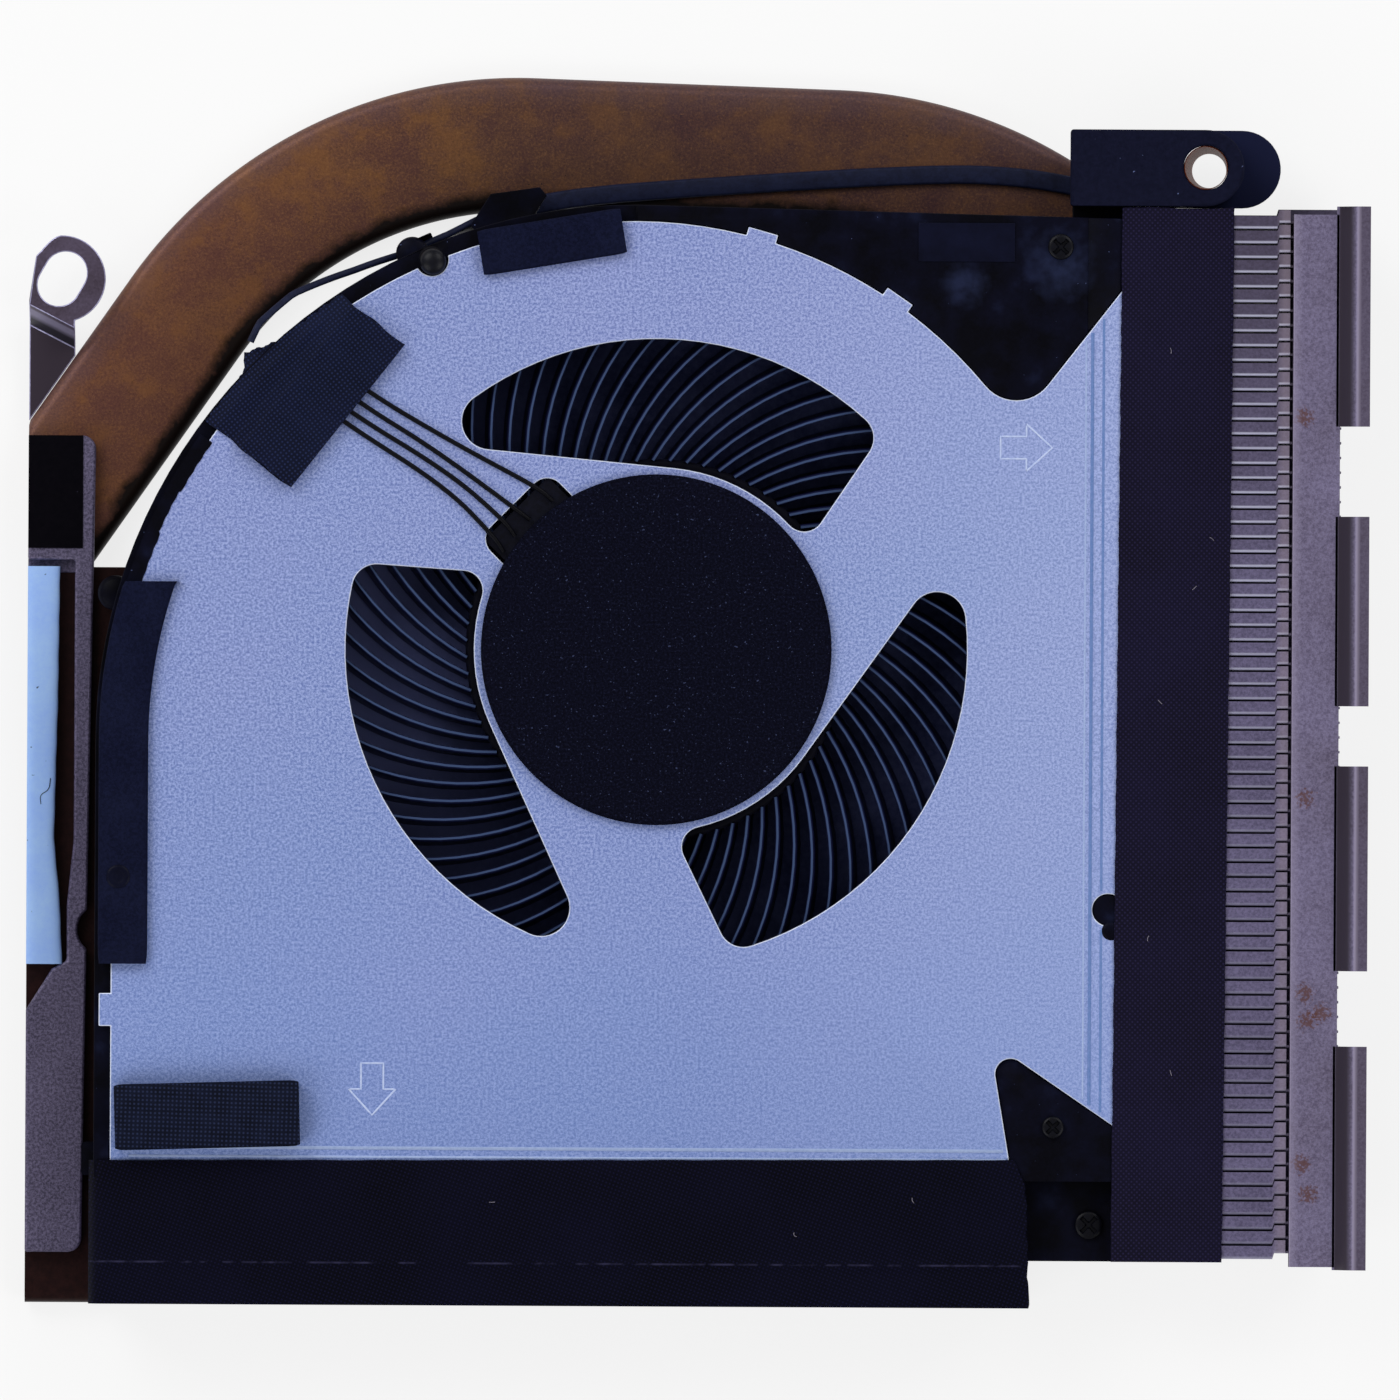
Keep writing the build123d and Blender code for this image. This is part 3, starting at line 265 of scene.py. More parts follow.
def laidOver(made, code, *masks):
    # puts one more colour over a finish where all its masks, node outputs or values for axisMask, are 1
    tree = made["tree"]
    masks = [axisMask(made, *mask) if isinstance(mask, tuple) else mask for mask in masks]
    share = masks[0]
    for mask in masks[1:]:
        share = addNode(tree, "Math", {0: share, 1: mask}, operation="MULTIPLY")
    made["tone"] = addNode(tree, "Mix", {"Factor": share, "A": made["tone"], "B": toLinear(code)},
                           data_type="RGBA")
    tree.links.new(made["tone"], made["shader"].inputs["Base Color"])


def spotted(made, code, spots, noise, core, limits, most):
    # a noise shown only near some spots, each a place and a reach in millimetres
    tree = made["tree"]
    scale, detail = noise
    pattern = addNode(tree, "TexNoise", {"Vector": made["place"], "Scale": scale, "Detail": detail})
    for spot, reach in spots:
        far = addNode(tree, "VectorMath", {0: made["place"], 1: toFrame(spot).tolist()}, output="Value",
                      operation="DISTANCE")
        near = addNode(tree, "MapRange", {"Value": far, "From Min": reach * 0.001, "From Max": core * 0.001})
        patchy = addNode(tree, "Math", {0: near, 1: pattern}, operation="MULTIPLY")
        laidOver(made, code, addNode(tree, "MapRange", {"Value": patchy, "From Min": limits[0],
                                                        "From Max": limits[1], "To Max": most}))


def woven(made, pitch, degrees, code, share, depth=0.03):
    # two crossed waves at the thread pitch, in millimetres, lighten and lift the threads' crowns
    tree = made["tree"]
    threads = addNode(tree, "Mapping", {"Vector": made["place"], "Rotation": (0, 0, math.radians(degrees))})
    waves = [addNode(tree, "TexWave", {"Vector": threads, "Scale": 314.16 / pitch, "Distortion": 0.6,
                                       "Detail": 1.0, "Detail Scale": 0.4}, bands_direction=way)
             for way in "XY"]
    crowns = addNode(tree, "Math", {0: waves[0], 1: waves[1]}, operation="MULTIPLY")
    laidOver(made, code, addNode(tree, "MapRange", {"Value": crowns, "From Min": 0.25, "From Max": 0.9,
                                                    "To Max": share}))
    raised = addNode(tree, "Bump", {"Height": crowns, "Strength": 0.5, "Distance": depth * 0.001})
    tree.links.new(raised, made["shader"].inputs["Normal"])


# plate: zinc-coated steel sheet with a fine matt grain, bluish under the photo's light
plateSteel = newFinish("zinc coated steel sheet", [(0.41, "#576bae"), (0.59, "#b7c4f2")], 0.22, 0.5, 0.2,
                       clouds=[(0.35, "#8299d6"), (0.65, "#989fdb")], cloud=30.0, cloudShare=0.3, bump=0.02,
                       shine=0.3)
# towards the right it turns lighter, towards the bottom bluer
laidOver(plateSteel, "#c2d4ff", ("X", 3.5, 37.5, 0.22))
laidOver(plateSteel, "#6f93d6", ("Y", -3.575, -39.575, 0.3))
# painted highlight round every opening, laid on the bevel of the punched edge
edgeHighlight = newFinish("painted highlight on the punched edge of steel", ("#c4d2fa", "#f2f6ff"), 0.5, 0.3, 0.1)
# the stamped arrows' beads, a little paler than the plate: a painted highlight on their edges
beadHighlight = newFinish("painted highlight on the stamped bead", ("#b0c2f0", "#d4e0fc"), 0.3, 0.4, 0.1)
# the pressed step: a painted highlight on the upper bend and painted shade on the slopes
stepHighlight = newFinish("painted highlight on the bend of the step", [(0.34, "#9db2e2"), (0.66, "#b9cbf2")], 0.3, 0.4,
                       0.2)
stepShade = newFinish("shaded slope of the step", [(0.34, "#6283be"), (0.66, "#7c94cb")], 0.3, 0.5, 0.2,
                     shine=0.2)
# moulded glass-filled black plastic, handled, with dull smears and dust
housingBlack = newFinish("black moulded plastic with smears", ("#050409", "#0c0c18"), 0.3, 0.42,
                         clouds=[(0.4, "#040409"), (0.62, "#0c0e22"), (0.78, "#1d2340")], cloud=3.0,
                         specks=("#6d7cb0", 0.25, 0.8), shine=0.05)
spotted(housingBlack, "#2c3455", [((34.2, 32.8, plateTop), 4.5), ((26.0, 31.2, plateTop), 3.0)],
        (900.0, 6.0), 0.0, (0.12, 0.5), 0.5)
# the mount arm's open end is lighter, a navy near the rubber's
laidOver(housingBlack, "#1b1f3c", ("X", 45, 46, 0.85))
glossBlack = newFinish("heat staked glossy plastic", ("#04040a", "#0a0b18"), 0.4, 0.36, shine=0.2)
# blades: liquid-crystal polymer, near black; painted light makes their sides lighter towards the top, and a
# painted highlight turns their crests blue-grey
bladePlastic = newFinish("black impeller polymer", ("#020206", "#080812"), 0.6, 0.32, shine=0.1)
laidOver(bladePlastic, "#1c2042", ("Z", 5.5, 9.4))
laidOver(bladePlastic, "#3c4c6e", ("normalZ", 0.55, 0.95))
hubPlastic = newFinish("black impeller hub polymer", ("#04040a", "#0b0b18"), 0.6, 0.4, shine=0.1)
screwBlack = newFinish("blackened steel screw", ("#030307", "#0a0b16"), 0.3, 0.35, shine=0.16)
# open foam with pale cell walls, cells drawn a little coarser than real ones
foamBlack = newFinish("black cellular foam", [(0.36, "#06060e"), (0.55, "#0d0e1e"), (0.68, "#1d2036")], 0.2,
                      0.95, specks=("#39405e", 0.22, 0.72), bump=0.05, shine=0.04)
rimFoam = newFinish("blue black skinned foam", [(0.4, "#0a0d1f"), (0.6, "#181c38")], 0.25, 0.9,
                    clouds=[(0.4, "#0e1126"), (0.65, "#151930")], cloud=4.0, bump=0.02, shine=0.05)
# acetate cloth tapes, weaves drawn a little coarser than real ones
sideCloth = newFinish("black acetate cloth tape, twill", ("#0d0b1b", "#161328"), 0.5, 0.62,
                      clouds=[(0.35, "#100d1d"), (0.7, "#17142d")], cloud=8.0, shine=0.06)
woven(sideCloth, 0.32, 45, "#2a2649", 0.7)
lowerCloth = newFinish("black acetate cloth tape, plain", ("#05050d", "#0a0a18"), 0.5, 0.6,
                       clouds=[(0.35, "#05050e"), (0.7, "#0b0b1e")], cloud=9.0, shine=0.04)
woven(lowerCloth, 0.32, 20, "#151532", 0.75)
# the crease along the lower tape is paler in short dashes
dashes = addNode(lowerCloth["tree"], "TexNoise", {"Vector": lowerCloth["place"], "Scale": 700.0,
                                                  "Detail": 3.0})
laidOver(lowerCloth, "#2d2c45", ("Y", -52.31, -52.24), ("Y", -52.09, -52.16),
         addNode(lowerCloth["tree"], "MapRange", {"Value": dashes, "From Min": 0.42, "From Max": 0.62}))
wireCloth = newFinish("blue black cloth tape over wires", ("#070a17", "#0e1226"), 0.5, 0.6,
                      clouds=[(0.35, "#0d1022"), (0.7, "#171d3a")], cloud=6.0, shine=0.06)
woven(wireCloth, 0.33, 51.7, "#242e54", 0.9)
gasketCloth = newFinish("conductive fabric over foam", ("#080b18", "#10152a"), 0.4, 0.6,
                        clouds=[(0.35, "#070a16"), (0.7, "#141a30")], cloud=1.2, shine=0.06)
woven(gasketCloth, 0.36, 1.6, "#2a3352", 0.8, 0.06)
blackFilm = newFinish("black polyester film", ("#080916", "#0e1024"), 0.6, 0.35,
                      clouds=[(0.4, "#0a0b19"), (0.7, "#14172f")], cloud=4.0, shine=0.06)
tapeFilm = newFinish("black film on the cold plate", ("#050409", "#0a080e"), 0.5, 0.4,
                     specks=("#4a4a60", 0.5, 0.8), shine=0.03)
lintPale = newFinish("pale lint fibre", ("#5d5868", "#96909f"), 0.5, 0.9)
# settled dust and a painted sheen, with painted light making it paler towards the left inlet
dustAndSheen = newFinish("grey blue dust and painted sheen on the fan floor", [(0.35, "#3d4475"), (0.65, "#6b73ad")], 0.5, 0.95,
                     clouds=[(0.35, "#343b68"), (0.65, "#7079b4")], cloud=5.0, shine=0.02)
laidOver(dustAndSheen, "#9aa4ee", ("X", -8, -24, 0.85))
wireJacket = newFinish("black wire jacket", ("#040408", "#0a0a12"), 0.6, 0.4, shine=0.1)
leadJacket = newFinish("black shrink sleeve", ("#121529", "#1e2440"), 0.8, 0.45, shine=0.12)
# fins: rolled aluminium, dull violet-grey, browner towards the upper end
finMetal = newFinish("rolled aluminium fin sheet", [(0.38, "#484261"), (0.62, "#857ca4")], 0.26, 0.45, 0.4,
                     clouds=[(0.35, "#524b66"), (0.65, "#6b6484")], cloud=7.0, bump=0.02)
laidOver(finMetal, "#3b3240", ("Y", 4, 30, 0.6))
# the gaps between the side fins lie in shade just below the folds
foldHigh = boxOf("side_fin_sheets")[1][2]
lastFin = boxOf("side_fins")[0][1]
laidOver(finMetal, "#17131c", ("Z", foldHigh - 0.16, foldHigh - 0.34, 0.85), ("X", 53.65, 53.45),
         ("X", 46, 47), ("Y", lastFin + 0.22, lastFin + 0.3))
# painted highlights on the folds, more so towards the upper end, and on the jogged ends' crowns
foldCrown = ("Z", foldHigh - 0.3, foldHigh - 0.2)
laidOver(finMetal, "#e4e4ff", ("normalY", -0.2, -0.6), foldCrown, ("Y", -18.575, 8.425, 1.0, 0.25))
laidOver(finMetal, "#b5a3b0", ("X", 52.5, 53.2, 0.3), foldCrown)
# cover: the same family of grey sheet, thicker, with a few rust freckles
coverSteel = newFinish("plated steel cover sheet", [(0.38, "#4f4764"), (0.62, "#978fb2")], 0.24, 0.45, 0.35,
                       clouds=[(0.35, "#5d5268"), (0.65, "#786f90")], cloud=8.0, bump=0.02)
rust = {"height": 10.9, "reach": 2.4, "core": 0.2, "places": [
    (55.2, -12.3), (55.3, -28.9), (55.0, -43.4), (54.9, 20.0), (56.6, -30.6), (55.4, -31.2), (55.6, -46.0)]}
spotted(coverSteel, "#5c3427", [((*place, rust["height"]), rust["reach"]) for place in rust["places"]],
        (4200.0, 4.0), rust["core"], (0.35, 0.47), 0.75)
# the tabs' inner slopes lie in brown shade, the bend above them shines, and the lips' outer edge is darker
laidOver(coverSteel, "#3f3744", ("normalX", -0.45, -0.75))
laidOver(coverSteel, "#a198b4", ("normalX", -0.08, -0.2), ("normalX", -0.5, -0.36))
laidOver(coverSteel, "#453a48", ("X", 59.35, 59.6, 0.6))
# painted highlight on the tabs' bevelled edges
coverEdgeHighlight = newFinish("painted highlight on the cover's edge", [(0.35, "#8d86a8"), (0.65, "#cfcfee")], 0.5, 0.35, 0.4)
# heat pipes: oxidised copper, brown-gold with violet mottles and a fine grain
pipeCopper = newFinish("oxidised copper pipe", [(0.3, "#2b1a1d"), (0.5, "#5c3d31"), (0.7, "#96683c")], 0.2,
                       0.45, 0.35, clouds=[(0.3, "#452d33"), (0.5, "#5e3e33"), (0.7, "#73502f")], cloud=7.0,
                       cloudShare=0.4, specks=("#241719", 0.4, 0.76), bump=0.02, shine=0.2)
pipeTree = pipeCopper["tree"]
uneven = addNode(pipeTree, "TexNoise", {"Vector": pipeCopper["place"], "Scale": 300.0, "Detail": 8.0,
                                        "Roughness": 0.65})
for code, stops in (("#85592a", [(0.49, "#000000"), (0.62, "#b8b8b8")]),
                    ("#43282f", [(0.34, "#c0c0c0"), (0.46, "#000000")])):
    laidOver(pipeCopper, code, addNode(pipeTree, "ValToRGB", {"Fac": uneven}, stops=stops))
laidOver(pipeCopper, "#38272f", ("X", -24, -6, 0.42))
laidOver(pipeCopper, "#7d4c3a", ("X", -14, -40, 0.35))
# painted shade blackens its inner side and a painted highlight pales its outer rim, each with an uneven edge
inward = addNode(pipeTree, "Attribute", output="Fac", attribute_name="inside")
edgeLine = addNode(pipeTree, "Math", {0: uneven, 1: 0.5, 2: inward}, operation="MULTIPLY_ADD")
grain = addNode(pipeTree, "TexNoise", {"Vector": pipeCopper["place"], "Scale": 4200.0, "Detail": 5.0,
                                       "Roughness": 0.85})
innerShade, rimHighlight, darkGrain, paleGrain = (
    addNode(pipeTree, "MapRange", {"Value": value, "From Min": first, "From Max": last, "To Max": most})
    for value, first, last, most in ((edgeLine, 0.9, 1.06, 0.97), (edgeLine, -0.3, -0.75, 0.35),
                                     (grain, 0.52, 0.78, 0.6), (grain, 0.46, 0.24, 0.45)))
laidOver(pipeCopper, "#050304", innerShade)
laidOver(pipeCopper, "#705a60", rimHighlight)
# dark grains all over, and pale ones where there is no painted shade
laidOver(pipeCopper, "#1c1013", darkGrain)
laidOver(pipeCopper, "#a5764c", paleGrain, addNode(pipeTree, "Math", {0: 1.0, 1: innerShade}, operation="SUBTRACT"))
# copper darkened with painted shade, for the lower pipe and the base, which lie in shadow
shadedCopper = newFinish("copper darkened with painted shade", ("#1a0c0d", "#2b1615"), 0.6, 0.45, 0.2, shine=0.1)
platedMetal = newFinish("dull nickel plated frame", [(0.42, "#332d48"), (0.58, "#887fa3")], 0.24, 0.45, 0.3,
                        clouds=[(0.35, "#3a3449"), (0.65, "#544d66")], cloud=5.0, bump=0.02)
# the ear's foot lies in painted shade, and its bent wall turns from painted shade at the root to a painted
# highlight at the top
earSteel = newFinish("plated steel bracket", ("#3c3241", "#655a70"), 0.25, 0.45, 0.3,
                     clouds=[(0.35, "#3a2e39"), (0.65, "#574c60")], cloud=4.0, shine=0.3)
for code, first, last, most in (("#a7a2c2", 4.4, 4.1, 0.5), ("#0d0a12", 3.4, 2.6, 0.9),
                                ("#372d39", 1.55, 1.45, 0.9)):
    laidOver(earSteel, code, ("Z", first, last, most))
# painted highlight on the bracket's bevelled bend
earShine = newFinish("painted highlight on the bracket's bend", ("#8079a0", "#bdbbe0"), 0.4, 0.3, 0.4)
bluePad = newFinish("pale blue silicone thermal pad", ("#98bdff", "#abd0ff"), 0.5, 0.7,
                    clouds=[(0.35, "#95b9ff"), (0.65, "#a6caff")], cloud=3.0, specks=("#33415f", 0.6, 0.77))
rubber = newFinish("matt black rubber", ("#0c0e20", "#15172d"), 0.4, 0.75,
                   specks=("#5b6690", 0.45, 0.79), shine=0.05)
bronze = newFinish("sintered bronze", ("#5c2415", "#944524"), 0.3, 0.5, 0.2, shine=0.2)
motorSteel = newFinish("silicon steel of the motor", ("#6b6c72", "#8e9096"), 0.5, 0.4, 0.7)
magnetGrey = newFinish("bonded ferrite magnet", ("#1b1b1e", "#303034"), 0.3, 0.6)
coilCopper = newFinish("enamelled copper winding", ("#7d3e1c", "#b5642f"), 0.25, 0.35, 0.7)
boardBlack = newFinish("black lacquered motor board", ("#08080f", "#131424"), 0.8, 0.45, shine=0.1)

nodeFinishes = {
    "lead_plug": housingBlack, "copper_base": shadedCopper, "cold_plate_tape": tapeFilm, "bearing_cup": bronze,
    "bearing_sleeve": bronze, "rotor_yoke": motorSteel, "rotor_shaft": motorSteel, "stator_core": motorSteel,
    "magnet_ring": magnetGrey, "stator_coils": coilCopper, "motor_board": boardBlack,
    "impeller": bladePlastic, "corner_screws": screwBlack,
}
for node, made in nodeFinishes.items():
    for materialSlot in nodes[node].material_slots:
        materialSlot.material = made["material"]
print("finishes made")

# plate, housing and the other stamped or moulded pieces keep their CAD shape with rounded edges
# the plate's bevels carry the painted highlight
softened("fanPlate", "fan_base_plate", 0.11, plateSteel, edgeHighlight)
softened("fanHousing", "fan_housing", 0.16, housingBlack)
floorPiece = softened("fanFloor", "fan_floor", 0.16, housingBlack)
# the lead's post is drawn in, because a half-round one stands for it; the lug runs on under the tape
wall = {"radius": 46.7, "outside": 46.75, "kept": 0.04, "postLow": 25, "lugLeft": 38.0, "lugHigh": -44.95,
        "lugEnd": 40.5}
wallSpots = spotsOf(floorPiece)
fromScroll = wallSpots[:, :2] - scrollCentre
scrollReach = np.linalg.norm(fromScroll, axis=1)
onPost = (scrollReach > wall["outside"]) & (wallSpots[:, 1] > wall["postLow"]) & (wallSpots[:, 0] < 0)
shorter = np.where(onPost, wall["radius"] + (scrollReach - wall["radius"]) * wall["kept"], scrollReach)
wallSpots[:, :2] = scrollCentre + fromScroll * (shorter / scrollReach)[:, None]
wallSpots[(wallSpots[:, 0] > wall["lugLeft"]) & (wallSpots[:, 1] < wall["lugHigh"]), 0] = wall["lugEnd"]
moveSpots(floorPiece, wallSpots)
softened("coldPlate", "cold_plate", 0.2, platedMetal)
# the ear's bevels carry the painted highlight
earPiece = softened("bracketEar", "bracket_ear", 0.2, earSteel, earShine, 3)
# on its upper left the ear's outline is drawn in towards the slot: a reach for each bearing in degrees
ear = {"slot": (-50.7, 31.3), "ringLow": 4.1, "hole": 2.9, "bearings": [95, 115, 127, 145],
       "reaches": [3.7, 3.2, 2.98, 2.95]}
earSpots = spotsOf(earPiece)
fromSlot = earSpots[:, :2] - ear["slot"]
earReach = np.linalg.norm(fromSlot, axis=1)
bearing = np.degrees(np.arctan2(fromSlot[:, 1], fromSlot[:, 0]))
drawnIn = np.interp(bearing, ear["bearings"], ear["reaches"])
onRim = (earSpots[:, 2] > ear["ringLow"]) & (earReach > ear["hole"])
onRim &= (bearing > ear["bearings"][0]) & (bearing < ear["bearings"][-1])
earSpots[:, :2] = ear["slot"] + fromSlot * (np.where(onRim, drawnIn, earReach) / earReach)[:, None]
moveSpots(earPiece, earSpots)
softened("rubberMount", "rubber_mount", 0.35, rubber, segments=3)
softened("cornerPatch", "corner_patch", 0.03, blackFilm)
print("moulded pieces rounded")

# impeller: each blade is an arc in plan, its section a thin upright slab with a rounded crest
impeller = {"blades": 71, "thickness": 0.35, "thinning": 0.75, "arc": 24.0, "lean": 32.0, "root": 16.1,
            "reach": 32.8, "base": 3.9, "top": 9.6, "trail": 1.3, "steps": 14,
            "hub": [(14.9, 4.3), (14.9, 9.3), (15.05, 9.4), (16.0, 9.4), (16.2, 9.2), (16.2, 3.8),
                    (16.1, 3.7), (0.6, 3.7), (0.6, 4.3), (14.9, 4.3)]}
lean = math.radians(impeller["lean"])
arcCentre = [impeller["root"], 0] - impeller["arc"] * np.array([math.sin(lean), math.cos(lean)])
span = np.linalg.norm(arcCentre)
tipCosine = (impeller["reach"] ** 2 - span ** 2 - impeller["arc"] ** 2) / (2 * impeller["arc"] * span)
tipAngle = math.atan2(arcCentre[1], arcCentre[0]) + math.acos(tipCosine)
outward = rays(np.linspace(math.pi / 2 - lean, tipAngle, impeller["steps"]))
half = impeller["thickness"] / 2 * np.linspace(1.0, impeller["thinning"], impeller["steps"])
section = np.array([[-1, 0], [1, 0], [1, 0.5], [1, 0.975], [0.55, 1], [-0.55, 1], [-1, 0.975], [-1, 0.5]])
blade = arcCentre + outward[:, None] * (impeller["arc"] + half[:, None] * section[None, :, 0])[..., None]
rise = impeller["base"] + (impeller["top"] - impeller["base"]) * section[:, 1]
# every blade is turned to its place about the axis, and its lower parts trail a little behind the crest
turns = np.arange(impeller["blades"])[:, None, None] * 2 * math.pi / impeller["blades"]
turns = turns + math.radians(impeller["trail"]) * (1 - section[:, 1])
blades = gridOf(blade[..., 0] * np.cos(turns) - blade[..., 1] * np.sin(turns),
                blade[..., 0] * np.sin(turns) + blade[..., 1] * np.cos(turns), rise)
loft("impellerBlades", blades, bladePlastic, "rotor", ("impeller",))
loft("impellerHub", revolved(impeller["hub"], (0, 0), 96), hubPlastic, "rotor",
     ("impeller",), caps=False)
print("impeller made")

# fins: a folded sheet, its section a channel lying on its side with a rounded bend, carried along each fin
fins = {"pitch": 1.25, "sheet": 0.2, "bend": 0.34, "gap": 0.13, "crook": 0.1, "jog": 0.5,
        "jogEnds": (52.6, 52.76, 53.7), "sideCount": 71, "lowCount": 62,
        "web": [(0, 2.2), (1.25, 2.2), (1.25, 2.4), (0.2, 2.4), (0.2, 10.35), (0, 10.35)]}


def finSection(low, high):
    pitch, t, b, c = fins["pitch"], fins["sheet"], fins["bend"], fins["crook"]
    reach = pitch - fins["gap"]
    quarter = b * rays(np.linspace(math.pi, math.pi / 2, 5))
    upper, lower = quarter + [b, high - b], (quarter * [1, -1] + [b, low + b])[::-1]
    inner = [[reach, high - t], [t + c, high - t], [t, high - t - c], [t, low + t + c], [t + c, low + t],
             [pitch, low + t]]
    return np.concatenate([upper, [[reach, high]], inner, [[pitch, low]], lower])


sideLow, sideHigh = boxOf("side_fins")
sheetLow, sheetHigh = boxOf("side_fin_sheets")
channel = finSection(sheetLow[2], sheetHigh[2])
stationX = np.array([sideLow[0], *fins["jogEnds"]])
stationShift = np.array([0.0, 0.0, fins["jog"], fins["jog"]])
starts = (sideLow[1] + fins["pitch"] * np.arange(fins["sideCount"]))[:, None, None]
finGrid = gridOf(stationX[:, None], starts + stationShift[:, None] + channel[:, 0], channel[:, 1])
loft("sideFins", finGrid, finMetal, replaced=("side_fins", "side_fin_sheets"), sharp=30)
# beyond the jog each fin carries on under the cover as an upright web on its foot
web = np.array(fins["web"])
webX = np.array([fins["jogEnds"][-1], sideHigh[0]])
loft("sideFinEnds", gridOf(webX[:, None], starts + fins["jog"] + web[:, 0], web[:, 1]), finMetal,
     replaced=("side_fins",))
lowLow, lowHigh = boxOf("lower_fins")
lowSheetLow, lowSheetHigh = boxOf("lower_fin_sheets")
lowChannel = finSection(lowSheetLow[2], lowSheetHigh[2])
lowStarts = (lowLow[0] + fins["pitch"] * np.arange(fins["lowCount"]))[:, None, None]
lowGrid = gridOf(lowStarts + lowChannel[:, 0], np.array([[lowLow[1]], [lowHigh[1]]]), lowChannel[:, 1])
loft("lowerFins", lowGrid, finMetal, replaced=("lower_fins", "lower_fin_sheets"), sharp=30)
print("fins made")

# cover: a flat strip, and tabs whose section is an S with rounded bends, carried along the strip
cover = {"left": 53.95, "right": 58.0, "low": 10.4, "sheet": 0.5, "run": 1.2, "rise": 1.9, "lip": 1.3,
         "lap": 0.35, "bend": 0.1, "short": (0.25, 0.7), "rows": 24, "edge": 0.1,
         "tabs": [(9.35, 18.7), (34.4, 16.1), (56.25, 17.4), (80.85, 19.0)]}
coverLow, coverHigh = boxOf("fin_cover")
middle = cover["low"] + cover["sheet"] / 2
stripSection = roundRect(cover["right"] - cover["left"], cover["sheet"], 0.12, 3)
stripSection = stripSection + [(cover["left"] + cover["right"]) / 2, middle]


def coverLoops(outline, firstY, lastY):
    return gridOf(outline[:, 0], np.linspace(firstY, lastY, cover["rows"])[:, None], outline[:, 1])


stripLoops = coverLoops(stripSection, coverLow[1] + cover["short"][0], coverHigh[1] - cover["short"][1])
loft("finCoverStrip", stripLoops, coverSteel, replaced=("fin_cover",), sharp=60)
tabRun = cover["right"] + cover["run"]
bendLine = rounded([(cover["right"] - cover["lap"], middle), (cover["right"] + cover["bend"], middle),
                    (tabRun, middle + cover["rise"]), (tabRun + cover["lip"], middle + cover["rise"])], 3)
flow = unit(np.gradient(bendLine, axis=0))
sideways = np.stack([-flow[:, 1], flow[:, 0]], -1) * cover["sheet"] / 2
tabOutline = np.concatenate([bendLine + sideways, (bendLine - sideways)[::-1]])
tabLoops = np.stack([coverLoops(tabOutline, *(coverHigh[1] - drop + np.array([-0.5, 0.5]) * length))
                     for drop, length in cover["tabs"]])
tabPiece = loft("finCoverTabs", tabLoops, coverSteel, replaced=("fin_cover",), sharp=50)
# the tabs' bevels carry the painted highlight
bevelled(tabPiece, cover["edge"], 2, 50, coverEdgeHighlight)
print("cover made")

# heat pipes: a flattened round section carried along straight runs and arcs, cut off at the photo's left edge
pipe = {"width": 11.4, "height": 2.2, "corner": 1.0, "bend": 34.6, "left": (-11.86, 8.35),
        "right": (14.07, 7.47), "end": -53.5, "start": 145, "runBack": 235, "firstRun": (21.8, 0.5),
        "lastY": -51.0}
leftBend, rightBend = np.array(pipe["left"]), np.array(pipe["right"])
topAngle = math.pi / 2 + math.atan2(rightBend[1] - leftBend[1], rightBend[0] - leftBend[0])
arcOne = leftBend + pipe["bend"] * rays(np.linspace(math.radians(pipe["start"]), topAngle, 60))
arcTwo = rightBend + pipe["bend"] * rays(np.linspace(topAngle, 0, 70))
firstRun = arcOne[0] + rays(math.radians(pipe["runBack"])) * np.linspace(*pipe["firstRun"], 44)[:, None]
lastRun = np.stack([np.full(60, arcTwo[-1, 0]), np.linspace(arcTwo[-1, 1] - 0.5, pipe["lastY"], 60)], -1)
plan = np.concatenate([firstRun, arcOne, arcTwo, lastRun])
pipeSection = roundRect(pipe["width"], pipe["height"], pipe["corner"], 6)
pipeLoops = alongPath(lifted(plan, pipe["height"] / 2), pipeSection)
pipeLoops[..., 0] = np.maximum(pipeLoops[..., 0], pipe["end"])
upperPipe = loft("upperPipe", pipeLoops, pipeCopper, replaced=("upper_heat_pipe",), sharp=60)
# each vertex keeps how far it lies towards the bend's inner side, from -1 to 1
pipeSpots = spotsOf(upperPipe)[:, :2]
nearest = np.argmin(np.linalg.norm(pipeSpots[:, None] - plan[None], axis=-1), axis=1)
ahead = unit(np.gradient(plan, axis=0))[nearest]
away = pipeSpots - plan[nearest]
inside = (away[:, 1] * -ahead[:, 0] + away[:, 0] * ahead[:, 1]) / (pipe["width"] / 2)
upperPipe.data.attributes.new("inside", "FLOAT", "POINT").data.foreach_set("value", inside.astype(np.float32))
lowPipeLow, lowPipeHigh = boxOf("lower_heat_pipe")
lowPath = gridOf(np.linspace(lowPipeLow[0], lowPipeHigh[0], 40), (lowPipeLow[1] + lowPipeHigh[1]) / 2,
                 pipe["height"] / 2)
lowSection = roundRect(lowPipeHigh[1] - lowPipeLow[1], pipe["height"], pipe["corner"], 6)
# the lower pipe's copper is darkened with painted shade
loft("lowerPipe", alongPath(lowPath, lowSection), shadedCopper, replaced=("lower_heat_pipe",),
     sharp=60)
print("pipes made")


def tape(name, plan, top, thickness, finish, node):
    # a thin closed sheet: each row runs over the upper face and back under the lower one
    upper = lifted(plan, top)
    lower = upper - [0, 0, thickness]
    return loft(name, np.concatenate([upper, lower[:, ::-1]], 1), finish, replaced=(node,))


